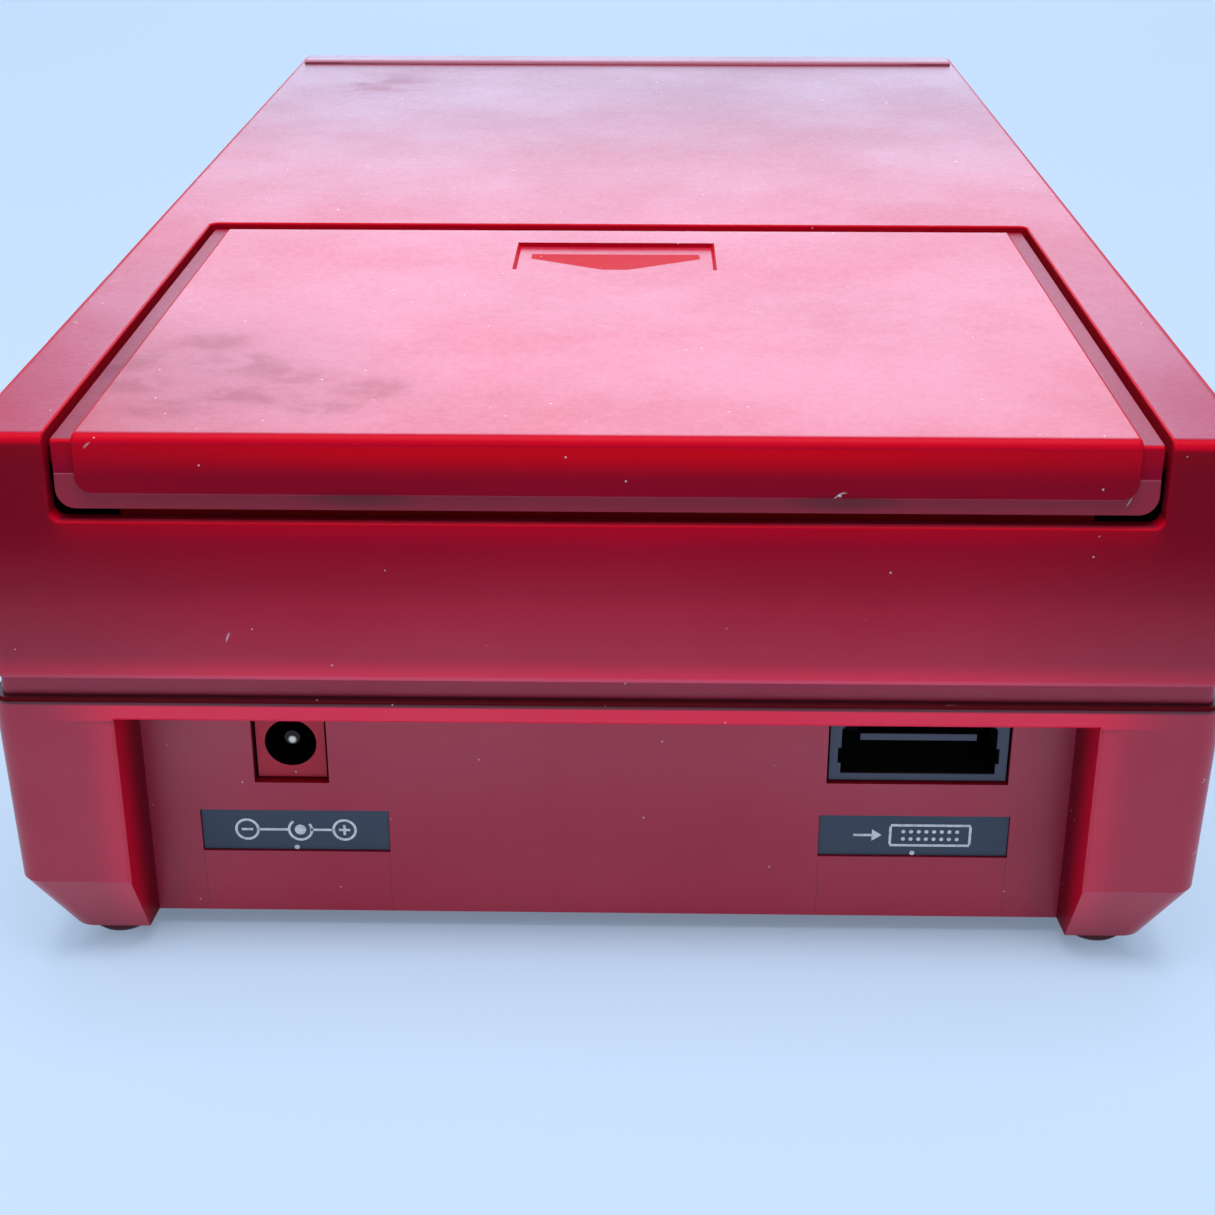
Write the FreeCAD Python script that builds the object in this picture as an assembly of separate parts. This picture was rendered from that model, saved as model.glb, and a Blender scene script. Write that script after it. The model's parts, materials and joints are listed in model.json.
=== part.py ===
import FreeCAD, Part
import math
import os

V = FreeCAD.Vector

# Case envelope
case_depth = 263.0
top_width = 149.8
side_draft = 0.7
top_height = 73.0
wall = 2.4
corner_radius = 3.0
inner_corner_radius = 1.0
top_edge_radius = 1.4
split_edge_radius = 0.4
foot_gap = 2.6

# Split between the shells
split_drop = 34.3
groove_height = 2.8
groove_depth = 1.3
tongue_rise = 2.0
fit_gap = 0.15

# Lower shell flanks
crease_height = 12.6
lower_draft = 0.7
chamfer_side = 4.3
chamfer_end = 5.3

# Raised lip near the front of the top
lip_setback = 5.0
lip_length = 7.0
lip_height = 0.8
lip_edge_radius = 0.5
lip_side_border = 1.6

# Battery door and its notch
door_border = 9.7
notch_length = 101.3
notch_drop = 10.8
notch_corner_radius = 1.3
notch_edge_radius = 0.35
door_gap = 0.8
ledge_drop = 0.9
flange_thick = 1.9
flange_edge_radius = 0.5
panel_border = 2.5
panel_far_border = 3.0
panel_corner_radius = 2.2
panel_edge_radius = 0.6
skirt_setback = 0.9
skirt_thick = 2.2
skirt_gap = 1.5
skirt_corner_radius = 2.3
skirt_flare = 0.35
skirt_crease_rise = 4.3
panel_skirt_rise = 1.8
ledge_width = 6.7
ledge_thick = 1.5
slide_gap = 0.25
runner_thick = 1.2
runner_foot = 2.6
runner_end_margin = 5.0
door_tongue_width = 60.0
door_tongue_reach = 4.0
door_tongue_overlap = 9.0
door_tongue_thick = 1.9

# Thumb pocket and arrow in the door
thumb_width = 30.3
thumb_length = 15.9
thumb_depth = 0.7
thumb_side_slope = 0.5
thumb_setback = 73.6
arrow_width = 25.7
arrow_length = 10.0
arrow_blunt_end = 2.6
arrow_margin = 1.5
arrow_depth = 1.1

# Battery tray
cell_diameter = 26.2
contact_space = 6.0
tray_side_gap = 0.5
row_pitch = 27.0
row_count = 3
tray_wall = 2.0
tray_gap = 0.4
tray_rear_gap = 1.4
divider_height = 5.0
divider_thick = 1.5
tray_ear_length = 10.0
tray_ear_thick = 2.4
tray_ear_drop = 4.2
tray_ear_reach = 11.0
tray_ear_front = 10.0
tray_ear_pitch = 32.0
tray_boss_inset = 3.0
tray_boss_radius = 3.0
tray_screw_radius = 1.2
tray_screw_head_radius = 2.4
tray_screw_head_height = 1.8
tray_screw_bite = 4.5

# Battery contacts
contact_width = 16.0
contact_height = 18.0
contact_thick = 0.4
spring_big_radius = 7.5
spring_small_radius = 4.5
spring_length = 7.0
spring_turns = 3.5
spring_wire_radius = 0.45

# Case screws and feet
case_boss_inset = 10.1
case_boss_radius = 3.6
case_boss_rear_inset = 31.5
case_boss_front_inset = 26.0
case_boss_middle = 2.0
case_boss_seam = 26.0
case_screw_radius = 1.5
case_screw_head_radius = 2.9
case_screw_head_height = 1.8
case_screw_bite = 16.0
case_screw_sink = 1.4
screw_gap = 0.2
thread_gap = 0.02
pilot_spare = 1.0
foot_radius = 4.2
foot_inset = 10.4
foot_end_inset = 11.5
foot_seat = 0.8

# Rear recess and its ports
pillar_width = 15.1
recess_draft = 0.7
recess_depth = 9.5
beam_height = 2.9
recess_bevel = 0.4
jack_inset = 19.7
jack_drop = 8.4
jack_opening = 9.7
jack_opening_drop = 5.4
jack_body_gap = 0.4
jack_bore_radius = 3.3
jack_bore_depth = 9.5
jack_setback = 1.0
jack_length = 14.0
jack_pin_radius = 1.0
jack_pin_setback = 1.4
jack_pin_root = 2.0
jack_axis_rise = 6.5
socket_inset = 20.4
socket_width = 23.4
socket_drop = 13.2
socket_height = 9.9
socket_gap = 0.3
socket_setback = 0.6
socket_length = 17.0
socket_rim = 0.95
socket_side_rim = 1.45
socket_cavity_depth = 12.0
socket_corner = 1.05
socket_key_height = 2.2
socket_key_depth = 0.4
socket_key_rise = 1.5
socket_tongue_width = 14.9
socket_tongue_thick = 0.9
socket_tongue_rise = 4.35
socket_tongue_setback = 1.0
socket_tongue_root = 3.0
socket_contact_count = 12
socket_contact_pitch = 1.15
socket_contact_width = 0.5
socket_contact_thick = 0.15
label_height = 6.2
label_drop = 24.1
label_pocket = 0.7
label_thick = 0.35
label_gap = 0.1
dc_label_width = 24.7
adapter_label_width = 24.8

# Underside
vent_count = 5
vent_pitch = 5.0
vent_width = 2.4
vent_length = 22.0
vent_setback = 36.5
plate_recess_width = 60.0
plate_recess_length = 30.0
plate_recess_depth = 0.4
plate_recess_centre = -30.0
shield_width = 88.0
shield_setback = 27.5
shield_board_gap = 10.0
shield_thick = 0.8

# Front bezel
bezel_side_border = 15.1
bezel_floor = 16.0
bezel_top = 60.0
bezel_setback = 2.0
bezel_thick = 3.0
bezel_flange = 2.5
bezel_gap = 0.3
slot_side_gap = 2.5
slot_room = 2.2
thumb_half = 13.0
thumb_drop = 6.0
button_inset = 16.5
button_z = 33.0
button_width = 22.0
button_height = 9.0
button_gap = 0.4
button_rise = 1.0
button_edge_radius = 0.6
lamp_inset = 14.5
lamp_radius = 2.3
lamp_flange_radius = 3.4
lamp_rise = 0.4
lamp_flange_thick = 1.2
lamp_tail = 3.0
name_recess_width = 46.0
name_recess_height = 8.0
name_recess_depth = 0.6
name_recess_z = 24.0

# Power board
board_thick = 1.6
power_board_inset = 5.0
power_board_depth = 35.2
board_wall_gap = 0.4
board_boss_radius = 3.0
board_screw_radius = 1.2
board_screw_head_radius = 2.2
board_screw_head_height = 1.5
board_screw_bite = 8.0
power_boss_side_inset = 6.5
power_boss_front_inset = 5.0
power_boss_rear_x = 18.0
power_boss_rear_inset = 7.2
capacitor_radius = 5.0
capacitor_height = 12.5
capacitor_count = 3
capacitor_pitch = 12.0
capacitor_x = -30.0
capacitor_inset = 14.0
regulator_jack_gap = 14.2
regulator_inset = 9.0
regulator_width = 10.0
regulator_thick = 4.5
regulator_height = 15.0
sink_width = 18.0
sink_height = 16.0
sink_base = 2.0
sink_fin_count = 4
sink_fin_thick = 1.2
sink_fin_length = 7.0

# Drive chassis
deck_floor = 24.0
deck_thick = 3.0
deck_side_border = 7.0
deck_setback = 9.5
deck_length = 145.0
cheek_thick = 2.5
cheek_top = 53.0
cheek_setback = 19.5
cheek_length = 84.0
mount_side_inset = 4.0
mount_setback = 17.5
mount_pitch = 130.5
mount_boss_radius = 4.5
grommet_radius = 4.8
grommet_height = 4.0
mount_screw_radius = 1.5
mount_screw_head_radius = 3.2
mount_screw_head_height = 2.0
mount_screw_bite = 9.0

# Card carrier and eject slide
card_width = 76.0
card_thick = 5.0
card_length = 84.0
card_gap = 0.5
card_height = 47.0
carrier_wall = 1.5
carrier_plate = 1.2
carrier_setback = 15.5
carrier_drop = 5.0
window_half = 15.0
window_setback = 45.5
window_length = 52.0
pin_radius = 1.5
pin_setback = 31.5
pin_pitch = 54.0
pin_slot_gap = 0.15
slide_side_gap = 1.5
slide_thick = 1.5
slide_floor = 34.0
slide_top = 51.0
slide_setback = 13.5
slide_length = 82.0
eject_travel = 6.0
bridge_floor = 28.5
bridge_height = 5.0
bridge_length = 3.0
pad_arm_width = 10.0
pad_arm_thick = 1.5
pad_arm_rise = 1.2
pad_arm_setback = 69.5
pad_arm_length = 31.0
pad_radius = 3.5
lift_spring_x = 30.0
lift_spring_setback = 35.5
lift_spring_radius = 4.0
lift_spring_wire = 0.4
lift_spring_turns = 6.0
lift_spring_end_gap = 0.3

# Spindle train
spindle_setback = 58.5
spindle_radius = 2.0
spindle_foot = 9.0
hub_floor = 31.5
hub_thick = 4.5
hub_radius = 8.5
nose_radius = 4.0
nose_height = 5.0
drive_pin_radius = 1.0
drive_pin_offset = 6.0
drive_pin_height = 2.0
bearing_radius = 4.5
bearing_drop = 2.0
bearing_rise = 3.0
running_gap = 0.05
flywheel_radius = 30.0
flywheel_floor = 15.0
flywheel_height = 6.0
flywheel_web = 2.5
flywheel_rim = 5.0
flywheel_boss = 7.0
belt_height = 4.0
belt_thick = 0.8
belt_gap = 0.08
motor_side_inset = 14.0
motor_setback = 128.5
motor_radius = 12.0
motor_height = 23.0
motor_edge_radius = 1.0
motor_shaft_radius = 1.0
motor_shaft_window = 3.2
motor_screw_offset = 8.0
motor_screw_radius = 1.3
motor_screw_bite = 3.0
motor_pulley_radius = 4.0
motor_pulley_rim = 1.0
motor_pulley_flange = 1.0

# Head feed
cam_setback = 115.1
cam_floor = 28.0
cam_thick = 3.0
cam_small_radius = 10.0
head_travel = 14.0
cam_sweep = 300.0
cam_dwell = 18.0
cam_shaft_radius = 2.0
cam_step = 6.0
feed_pulley_radius = 18.0
feed_drive_radius = 6.0
feed_floor = 10.0
feed_height = 2.5
feed_belt_height = 1.6
follower_radius = 1.5
follower_gap = 0.12
rod_x = 9.0
rod_z = 34.0
rod_radius = 1.5
rod_setback = 68.0
rod_length = 75.0
lug_thick = 2.5
lug_inner = 6.5
lug_outer = 13.0
lug_rise = 2.6
carriage_setback = 85.5
carriage_length = 20.0
carriage_half = 13.0
carriage_floor = 31.8
carriage_top = 37.0
head_setback = 4.0
head_size = 6.0
head_height = 3.5

# Drive board
drive_board_floor = 55.0
drive_board_side_inset = 5.0
drive_board_setback = 21.5
drive_board_length = 115.0
board_post_radius = 2.4
board_post_side_inset = 2.8
board_post_setback = 27.5
board_post_rear_x = 22.0
board_post_pitch = 107.0
board_tab = 5.5
chip_count = 3
chip_pitch = 34.0
chip_setback = 45.5
chip_length = 20.0
chip_width = 8.0
chip_height = 3.4
connector_half = 7.5
connector_length = 6.0
connector_height = 5.0
ribbon_half = 5.5
ribbon_thick = 0.7
ribbon_bend = 3.0
ribbon_run = 4.5
ribbon_rise = 3.0
switch_x = 30.0
switch_setback = 104.5
switch_length = 6.0
switch_width = 7.0
switch_height = 18.0
lead_radius = 0.9
lead_bend = 4.0
lead_drop = 4.1
lead_inset = 5.5

# Derived levels
half_depth = case_depth / 2
top_half = top_width / 2
case_half = top_half + side_draft
split_height = top_height - split_drop
upper_floor = split_height + groove_height
tongue_top = upper_floor + tongue_rise
skin_bottom = top_height - wall
floor_top = foot_gap + wall
underside_half = case_half - lower_draft - chamfer_side
notch_half = top_half - door_border
notch_front = half_depth - notch_length
notch_floor = top_height - notch_drop
flange_half = notch_half - door_gap
flange_front = notch_front + door_gap
flange_top = top_height - ledge_drop
flange_bottom = flange_top - flange_thick
panel_half = flange_half - panel_border
panel_front = flange_front + panel_far_border
skirt_face = half_depth - skirt_setback
skirt_back = skirt_face - skirt_thick
skirt_bottom = notch_floor + skirt_gap
panel_bottom = skirt_bottom + panel_skirt_rise
ledge_inner = notch_half - ledge_width
ledge_top = flange_bottom - slide_gap
ledge_bottom = ledge_top - ledge_thick
runner_outer = ledge_inner - slide_gap
runner_inner = runner_outer - runner_thick
runner_top = ledge_bottom - slide_gap
runner_bottom = runner_top - runner_thick
tray_top = runner_bottom - tray_gap
tray_floor = tray_top - cell_diameter + tray_gap / 2
tray_bottom = tray_floor - tray_wall
tray_half = ledge_inner - tray_side_gap - tray_wall
tray_rear = skirt_back - tray_rear_gap - tray_wall
tray_front = tray_rear - row_count * row_pitch
tray_outer = tray_half + tray_wall
ear_top = tray_top - tray_ear_drop
ear_bottom = ear_top - tray_ear_thick
ear_screw_x = tray_outer + tray_ear_reach - tray_boss_inset
cell_axis = tray_floor + cell_diameter / 2
recess_half = case_half - pillar_width
recess_top = split_height - beam_height
panel_y = half_depth - recess_depth
panel_inner_y = panel_y - wall
jack_x = recess_half - jack_inset
jack_z = recess_top - jack_drop
socket_x = socket_inset - recess_half
socket_floor = recess_top - socket_drop
label_floor = recess_top - label_drop
power_board_top = jack_z - jack_axis_rise
power_board_half = recess_half - power_board_inset
power_board_rear = panel_inner_y - board_wall_gap
power_board_front = power_board_rear - power_board_depth
power_boss_front_x = power_board_half - power_boss_side_inset
power_boss_front_y = power_board_front + power_boss_front_inset
power_boss_rear_y = power_board_rear - power_boss_rear_inset
capacitor_y = power_board_front + capacitor_inset
regulator_x = jack_x - regulator_jack_gap
regulator_y = power_board_front + regulator_inset
lead_x = power_board_half - lead_inset
lead_z = tray_bottom - lead_drop
vent_centre = half_depth - vent_setback
bezel_half = case_half - bezel_side_border
button_x = bezel_half - button_inset
lamp_x = lamp_inset - bezel_half
bezel_face = -half_depth + bezel_setback
bezel_back = bezel_face + bezel_thick
wall_inside_front = -half_depth + wall
deck_top = deck_floor + deck_thick
deck_front = deck_setback - half_depth
deck_rear = deck_front + deck_length
cheek_front = cheek_setback - half_depth
cheek_rear = cheek_front + cheek_length
mount_front = mount_setback - half_depth
mount_rear = mount_front + mount_pitch
carrier_front = carrier_setback - half_depth
window_front = window_setback - half_depth
window_rear = window_front + window_length
pin_front = pin_setback - half_depth
pin_rear = pin_front + pin_pitch
slide_front = slide_setback - half_depth
slide_rear = slide_front + slide_length
pad_arm_front = pad_arm_setback - half_depth
pad_arm_rear = pad_arm_front + pad_arm_length
lift_spring_y = lift_spring_setback - half_depth
spindle_y = spindle_setback - half_depth
motor_y = motor_setback - half_depth
cam_y = cam_setback - half_depth
rod_front = rod_setback - half_depth
rod_rear = rod_front + rod_length
carriage_front = carriage_setback - half_depth
drive_board_front = drive_board_setback - half_depth
drive_board_rear = drive_board_front + drive_board_length
board_post_front_y = board_post_setback - half_depth
board_post_rear_y = board_post_front_y + board_post_pitch
chip_front = chip_setback - half_depth
switch_front = switch_setback - half_depth
ribbon_y = drive_board_rear + ribbon_run
ribbon_z = deck_top + ribbon_rise
shield_front = shield_setback - half_depth
shield_rear = power_board_front - shield_board_gap
pocket_half = card_width / 2 + card_gap
pocket_floor = card_height - card_thick / 2 - card_gap
pocket_top = card_height + card_thick / 2 + card_gap
carrier_half = pocket_half + carrier_wall
carrier_floor = pocket_floor - carrier_plate
carrier_top = pocket_top + carrier_plate
carrier_rear = carrier_front + card_length + carrier_wall
slide_inner = carrier_half + slide_side_gap
slide_outer = slide_inner + slide_thick
cheek_inner = slide_outer + slide_side_gap
cheek_outer = cheek_inner + cheek_thick
deck_half = cheek_outer + deck_side_border
mount_x = deck_half - mount_side_inset
motor_x = deck_half - motor_side_inset
drive_board_half = deck_half - drive_board_side_inset
board_post_front_x = deck_half - board_post_side_inset
slot_half = pocket_half + slot_side_gap
slot_height = card_thick + slot_room
case_boss_x = case_half - case_boss_inset
foot_x = case_half - foot_inset
foot_y = half_depth - foot_end_inset
flywheel_top = flywheel_floor + flywheel_height
belt_floor = flywheel_floor + (flywheel_height - belt_height) / 2
cam_large_radius = cam_small_radius + head_travel
follower_y = cam_y - cam_small_radius - follower_radius - follower_gap
drive_board_top = drive_board_floor + board_thick


# Shape helpers
def box(x0, x1, y0, y1, z0, z1):
    return Part.makeBox(x1 - x0, y1 - y0, z1 - z0, V(x0, y0, z0))


def post(x, y, z0, z1, radius):
    return Part.makeCylinder(radius, z1 - z0, V(x, y, z0), V(0, 0, 1))


def bar_x(y, z, x0, x1, radius):
    return Part.makeCylinder(radius, x1 - x0, V(x0, y, z), V(1, 0, 0))


def bar_y(x, z, y0, y1, radius):
    return Part.makeCylinder(radius, y1 - y0, V(x, y0, z), V(0, 1, 0))


def prism(points, direction):
    return Part.Face(Part.makePolygon(points + points[:1])).extrude(direction)


def prism_x(points, x0, x1):
    return prism([V(x0, y, z) for y, z in points], V(x1 - x0, 0, 0))


def prism_y(points, y0, y1):
    return prism([V(x, y0, z) for x, z in points], V(0, y1 - y0, 0))


def prism_z(points, z0, z1):
    return prism([V(x, y, z0) for x, y in points], V(0, 0, z1 - z0))


def joined(shapes):
    return shapes[0].multiFuse(shapes[1:]).removeSplitter()


def mirrored(shape):
    return shape.mirror(V(0, 0, 0), V(1, 0, 0))


def both_sides(shape):
    return [shape, mirrored(shape)]


def picked(shape, test):
    return [edge for edge in shape.Edges if test(edge.BoundBox)]


def near(a, b):
    return abs(a - b) < 0.02


def level_edges(shape, z):
    return picked(shape, lambda b: near(b.ZMin, z) and near(b.ZMax, z))


def rounded_outline(half_x, half_y, radius, z):
    straight_x = half_x - radius
    straight_y = half_y - radius
    diagonal = radius * math.sqrt(0.5)
    edges = []
    for sx, sy in ((1, 1), (-1, 1), (-1, -1), (1, -1)):
        a = V(sx * half_x, sy * straight_y, z)
        b = V(sx * straight_x, sy * half_y, z)
        middle = V(sx * (straight_x + diagonal), sy * (straight_y + diagonal), z)
        start, end = (a, b) if sx * sy > 0 else (b, a)
        if edges:
            edges.append(Part.makeLine(edges[-1].Vertexes[-1].Point, start))
        edges.append(Part.Arc(start, middle, end).toShape())
    edges.append(Part.makeLine(edges[-1].Vertexes[-1].Point, edges[0].Vertexes[0].Point))
    return Part.Wire(edges)


def tier(low, high):
    flanks = [Part.makeRuledSurface(a, b) for a, b in zip(low.Edges, high.Edges)]
    skin = Part.Shell(flanks + [Part.Face(low), Part.Face(high)])
    skin.sewShape()
    solid = Part.Solid(skin)
    return solid if solid.Volume > 0 else solid.reversed()


def shell_body(sections):
    outlines = [rounded_outline(*section) for section in sections]
    tiers = [tier(low, high) for low, high in zip(outlines, outlines[1:])]
    return joined(tiers) if len(tiers) > 1 else tiers[0]


def biarc(start, start_way, end, end_way):
    gap = end - start
    ways = start_way + end_way
    a = 2 * start_way.dot(end_way) - 2
    b = -2 * gap.dot(ways)
    reach = (-b - math.sqrt(b * b - 4 * a * gap.dot(gap))) / (2 * a)
    first = start + start_way * reach
    second = end - end_way * reach
    joint = (first + second) * 0.5
    return [tangent_arc(start, first, joint), tangent_arc(joint, second, end)]


def tangent_arc(start, corner, end):
    middle = (start + end) * 0.5
    chord = start.distanceToPoint(end) / 2
    rise = corner.distanceToPoint(middle)
    side = corner.distanceToPoint(start)
    crown = middle + (corner - middle) * (chord * (side - chord) / (rise * rise))
    return Part.Arc(start, crown, end).toShape()


def coil(place, way, wire_radius, steps):
    edges = []
    for step in range(steps):
        edges += biarc(place(step), way(step), place(step + 1), way(step + 1))
    path = Part.Wire(edges)
    profile = Part.Wire(Part.makeCircle(wire_radius, place(0), way(0)))
    return path.makePipeShell([profile], True, False), path


def coil_gap(path, wire_radius, turn_share):
    points = path.discretize(Number=400)
    apart = int(len(points) * turn_share)
    pairs = ((a, b) for a in range(len(points)) for b in range(a + apart, len(points)))
    return min(points[a].distanceToPoint(points[b]) for a, b in pairs) - 2 * wire_radius


def bent_path(points, bend):
    edges = []
    last = points[0]
    for before, corner, after in zip(points, points[1:], points[2:]):
        back = (before - corner).normalize()
        on = (after - corner).normalize()
        start = corner + back * bend
        end = corner + on * bend
        edges.append(Part.makeLine(last, start))
        edges.append(tangent_arc(start, corner, end))
        last = end
    edges.append(Part.makeLine(last, points[-1]))
    return Part.Wire(edges)


def belt_outline(x1, y1, r1, x2, y2, r2, z):
    way = math.atan2(y2 - y1, x2 - x1)
    lean = math.acos((r1 - r2) / math.hypot(x2 - x1, y2 - y1))

    def on_big(angle):
        return V(x1 + r1 * math.cos(angle), y1 + r1 * math.sin(angle), z)

    def on_small(angle):
        return V(x2 + r2 * math.cos(angle), y2 + r2 * math.sin(angle), z)

    edges = [
        Part.Arc(on_big(way + lean), on_big(way + math.pi), on_big(way - lean)).toShape(),
        Part.makeLine(on_big(way - lean), on_small(way - lean)),
        Part.Arc(on_small(way - lean), on_small(way), on_small(way + lean)).toShape(),
        Part.makeLine(on_small(way + lean), on_big(way + lean)),
    ]
    return Part.Face(Part.Wire(edges))


def belt(x1, y1, r1, x2, y2, r2, z, height):
    inner_1 = r1 + belt_gap
    inner_2 = r2 + belt_gap
    outer = belt_outline(x1, y1, inner_1 + belt_thick, x2, y2, inner_2 + belt_thick, z)
    inner = belt_outline(x1, y1, inner_1, x2, y2, inner_2, z)
    return outer.cut(inner).extrude(V(0, 0, height))


# Screw places shared by screws and bosses
def case_screw_places():
    rear = half_depth - case_boss_rear_inset
    front = -half_depth + case_boss_front_inset
    return [(side * case_boss_x, y) for side in (-1, 1) for y in (rear, case_boss_middle, front)]


def tray_screw_places():
    first = tray_front + tray_ear_front
    return [(side * ear_screw_x, first + n * tray_ear_pitch) for side in (-1, 1) for n in range(2)]


def power_boss_places():
    front = [(side * power_boss_front_x, power_boss_front_y) for side in (-1, 1)]
    rear = [(side * power_boss_rear_x, power_boss_rear_y) for side in (-1, 1)]
    return front + rear


def board_post_places():
    front = [(side * board_post_front_x, board_post_front_y) for side in (-1, 1)]
    rear = [(side * board_post_rear_x, board_post_rear_y) for side in (-1, 1)]
    return front + rear


def mount_places():
    return [(side * mount_x, y) for side in (-1, 1) for y in (mount_front, mount_rear)]


def foot_places():
    return [(side * foot_x, end * foot_y) for side in (-1, 1) for end in (-1, 1)]


# Upper shell
def top_case():
    outer = shell_body([
        (case_half, half_depth, corner_radius, upper_floor),
        (top_half, half_depth, corner_radius, top_height),
    ])
    outer = outer.makeFillet(top_edge_radius, level_edges(outer, top_height))
    outer = outer.makeFillet(split_edge_radius, level_edges(outer, upper_floor))
    inner = shell_body([
        (case_half - wall, half_depth - wall, inner_corner_radius, upper_floor - wall),
        (top_half - wall, half_depth - wall, inner_corner_radius, skin_bottom),
    ])
    rabbet_in = groove_depth - fit_gap
    rabbet = shell_body([
        (case_half - rabbet_in, half_depth - rabbet_in, inner_corner_radius, upper_floor - wall),
        (case_half - rabbet_in, half_depth - rabbet_in, inner_corner_radius, tongue_top + fit_gap),
    ])
    shell = outer.cut(inner).cut(rabbet).cut(door_notch()).cut(bezel_opening())
    shell = joined([shell, front_lip()] + door_ledges() + top_bosses())
    edge_test = lambda b: near(b.ZMin, top_height) and near(b.ZMax, top_height) and notch_edge(b)
    shell = shell.makeFillet(notch_edge_radius, picked(shell, edge_test))
    return shell.cut(joined(top_pilots()))


def notch_edge(b):
    slack = notch_edge_radius / 2
    inside = b.XMin > -notch_half - slack and b.XMax < notch_half + slack
    return inside and b.YMin > notch_front - slack


def door_notch():
    top = box(-notch_half, notch_half, notch_front, half_depth + wall, ledge_top, top_height + wall)
    far = picked(top, lambda b: near(b.YMax, notch_front) and near(b.XMin, b.XMax))
    top = top.makeFillet(notch_corner_radius, far)
    rear = box(-notch_half, notch_half, half_depth - 2 * wall, half_depth + wall,
               notch_floor, top_height + wall)
    low = picked(rear, lambda b: near(b.ZMax, notch_floor) and near(b.XMin, b.XMax))
    return top.fuse(rear.makeFillet(notch_corner_radius, low))


def bezel_opening():
    return box(-bezel_half, bezel_half, -half_depth - wall, wall_inside_front + wall,
               bezel_floor, bezel_top)


def front_lip():
    front = -half_depth + lip_setback
    half = top_half - lip_side_border
    bar = box(-half, half, front, front + lip_length, skin_bottom + wall / 2, top_height + lip_height)
    return bar.makeFillet(lip_edge_radius, level_edges(bar, top_height + lip_height))


def door_ledges():
    rear = skirt_back - tray_gap
    ledge = box(ledge_inner, notch_half + wall, notch_front, rear, ledge_bottom, ledge_top)
    riser = box(notch_half, notch_half + wall, notch_front, rear, ledge_bottom, skin_bottom + wall / 2)
    return both_sides(ledge.fuse(riser))


def boss_roof(y):
    return ledge_bottom + ledge_thick / 2 if y > notch_front else skin_bottom + wall / 2


def top_bosses():
    case = [post(x, y, case_boss_seam, boss_roof(y), case_boss_radius) for x, y in case_screw_places()]
    tray = [post(x, y, ear_top, boss_roof(y), tray_boss_radius) for x, y in tray_screw_places()]
    return case + tray


def top_pilots():
    case_radius = case_screw_radius + thread_gap
    tray_radius = tray_screw_radius + thread_gap
    case_end = case_boss_seam + case_screw_bite + pilot_spare
    tray_end = ear_top + tray_screw_bite + screw_gap
    case = [post(x, y, case_boss_seam, case_end, case_radius) for x, y in case_screw_places()]
    tray = [post(x, y, ear_top, tray_end, tray_radius) for x, y in tray_screw_places()]
    return case + tray


# Lower shell
def bottom_case():
    crease_half = case_half - lower_draft
    outer = shell_body([
        (underside_half, half_depth - chamfer_end, corner_radius, foot_gap),
        (crease_half, half_depth, corner_radius, crease_height),
        (case_half, half_depth, corner_radius, split_height),
    ])
    outer = outer.makeFillet(split_edge_radius, level_edges(outer, split_height))
    inner = shell_body([
        (underside_half - wall / 2, half_depth - chamfer_end - wall / 2, inner_corner_radius, floor_top),
        (crease_half - wall, half_depth - wall, inner_corner_radius, crease_height + wall / 2),
        (case_half - wall, half_depth - wall, inner_corner_radius, split_height),
        (case_half - wall, half_depth - wall, inner_corner_radius, tongue_top + wall),
    ])
    tongue = shell_body([
        (case_half - groove_depth, half_depth - groove_depth, inner_corner_radius, split_height - wall),
        (case_half - groove_depth, half_depth - groove_depth, inner_corner_radius, tongue_top),
    ])
    shell = outer.fuse(tongue).cut(inner).cut(bezel_opening())
    shell = joined([shell, recess_block()] + floor_bosses())
    shell = shell.cut(recess_space())
    return shell.cut(joined(port_openings() + floor_holes()))


def recess_space():
    mouth = recess_half + recess_bevel
    bevel_y = half_depth - recess_bevel
    back_half = recess_half - recess_draft
    outline = [
        (-mouth, half_depth), (-mouth, half_depth + wall), (mouth, half_depth + wall),
        (mouth, half_depth), (recess_half, bevel_y), (back_half, panel_y), (-back_half, panel_y),
        (-recess_half, bevel_y),
    ]
    lintel = [
        (bevel_y, recess_top), (half_depth, recess_top + recess_bevel),
        (half_depth + wall, recess_top + recess_bevel), (half_depth + wall, recess_top - wall),
        (bevel_y, recess_top - wall),
    ]
    return prism_z(outline, foot_gap - wall, recess_top).fuse(prism_x(lintel, -recess_half, recess_half))


def recess_block():
    half = recess_half + wall
    blank = box(-half, half, panel_inner_y, half_depth, foot_gap, recess_top + wall)
    bounds = shell_body([
        (underside_half, half_depth - chamfer_end, corner_radius, foot_gap),
        (case_half - lower_draft, half_depth, corner_radius, crease_height),
        (case_half, half_depth, corner_radius, split_height),
    ])
    return blank.common(bounds)


def port_openings():
    jack_half = jack_opening / 2
    jack_floor = jack_z - jack_opening_drop
    socket_half = socket_width / 2
    y0 = panel_inner_y - wall
    y1 = panel_y + wall
    return [
        box(jack_x - jack_half, jack_x + jack_half, y0, y1, jack_floor, jack_floor + jack_opening),
        box(socket_x - socket_half, socket_x + socket_half, y0, y1,
            socket_floor, socket_floor + socket_height),
        label_box(jack_x, dc_label_width, 0, label_pocket),
        label_box(socket_x, adapter_label_width, 0, label_pocket),
    ]


def label_box(x, width, shrink, depth):
    half = width / 2 - shrink
    return box(x - half, x + half, panel_y - label_pocket, panel_y - label_pocket + depth,
               label_floor + shrink, label_floor + label_height - shrink)


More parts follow.
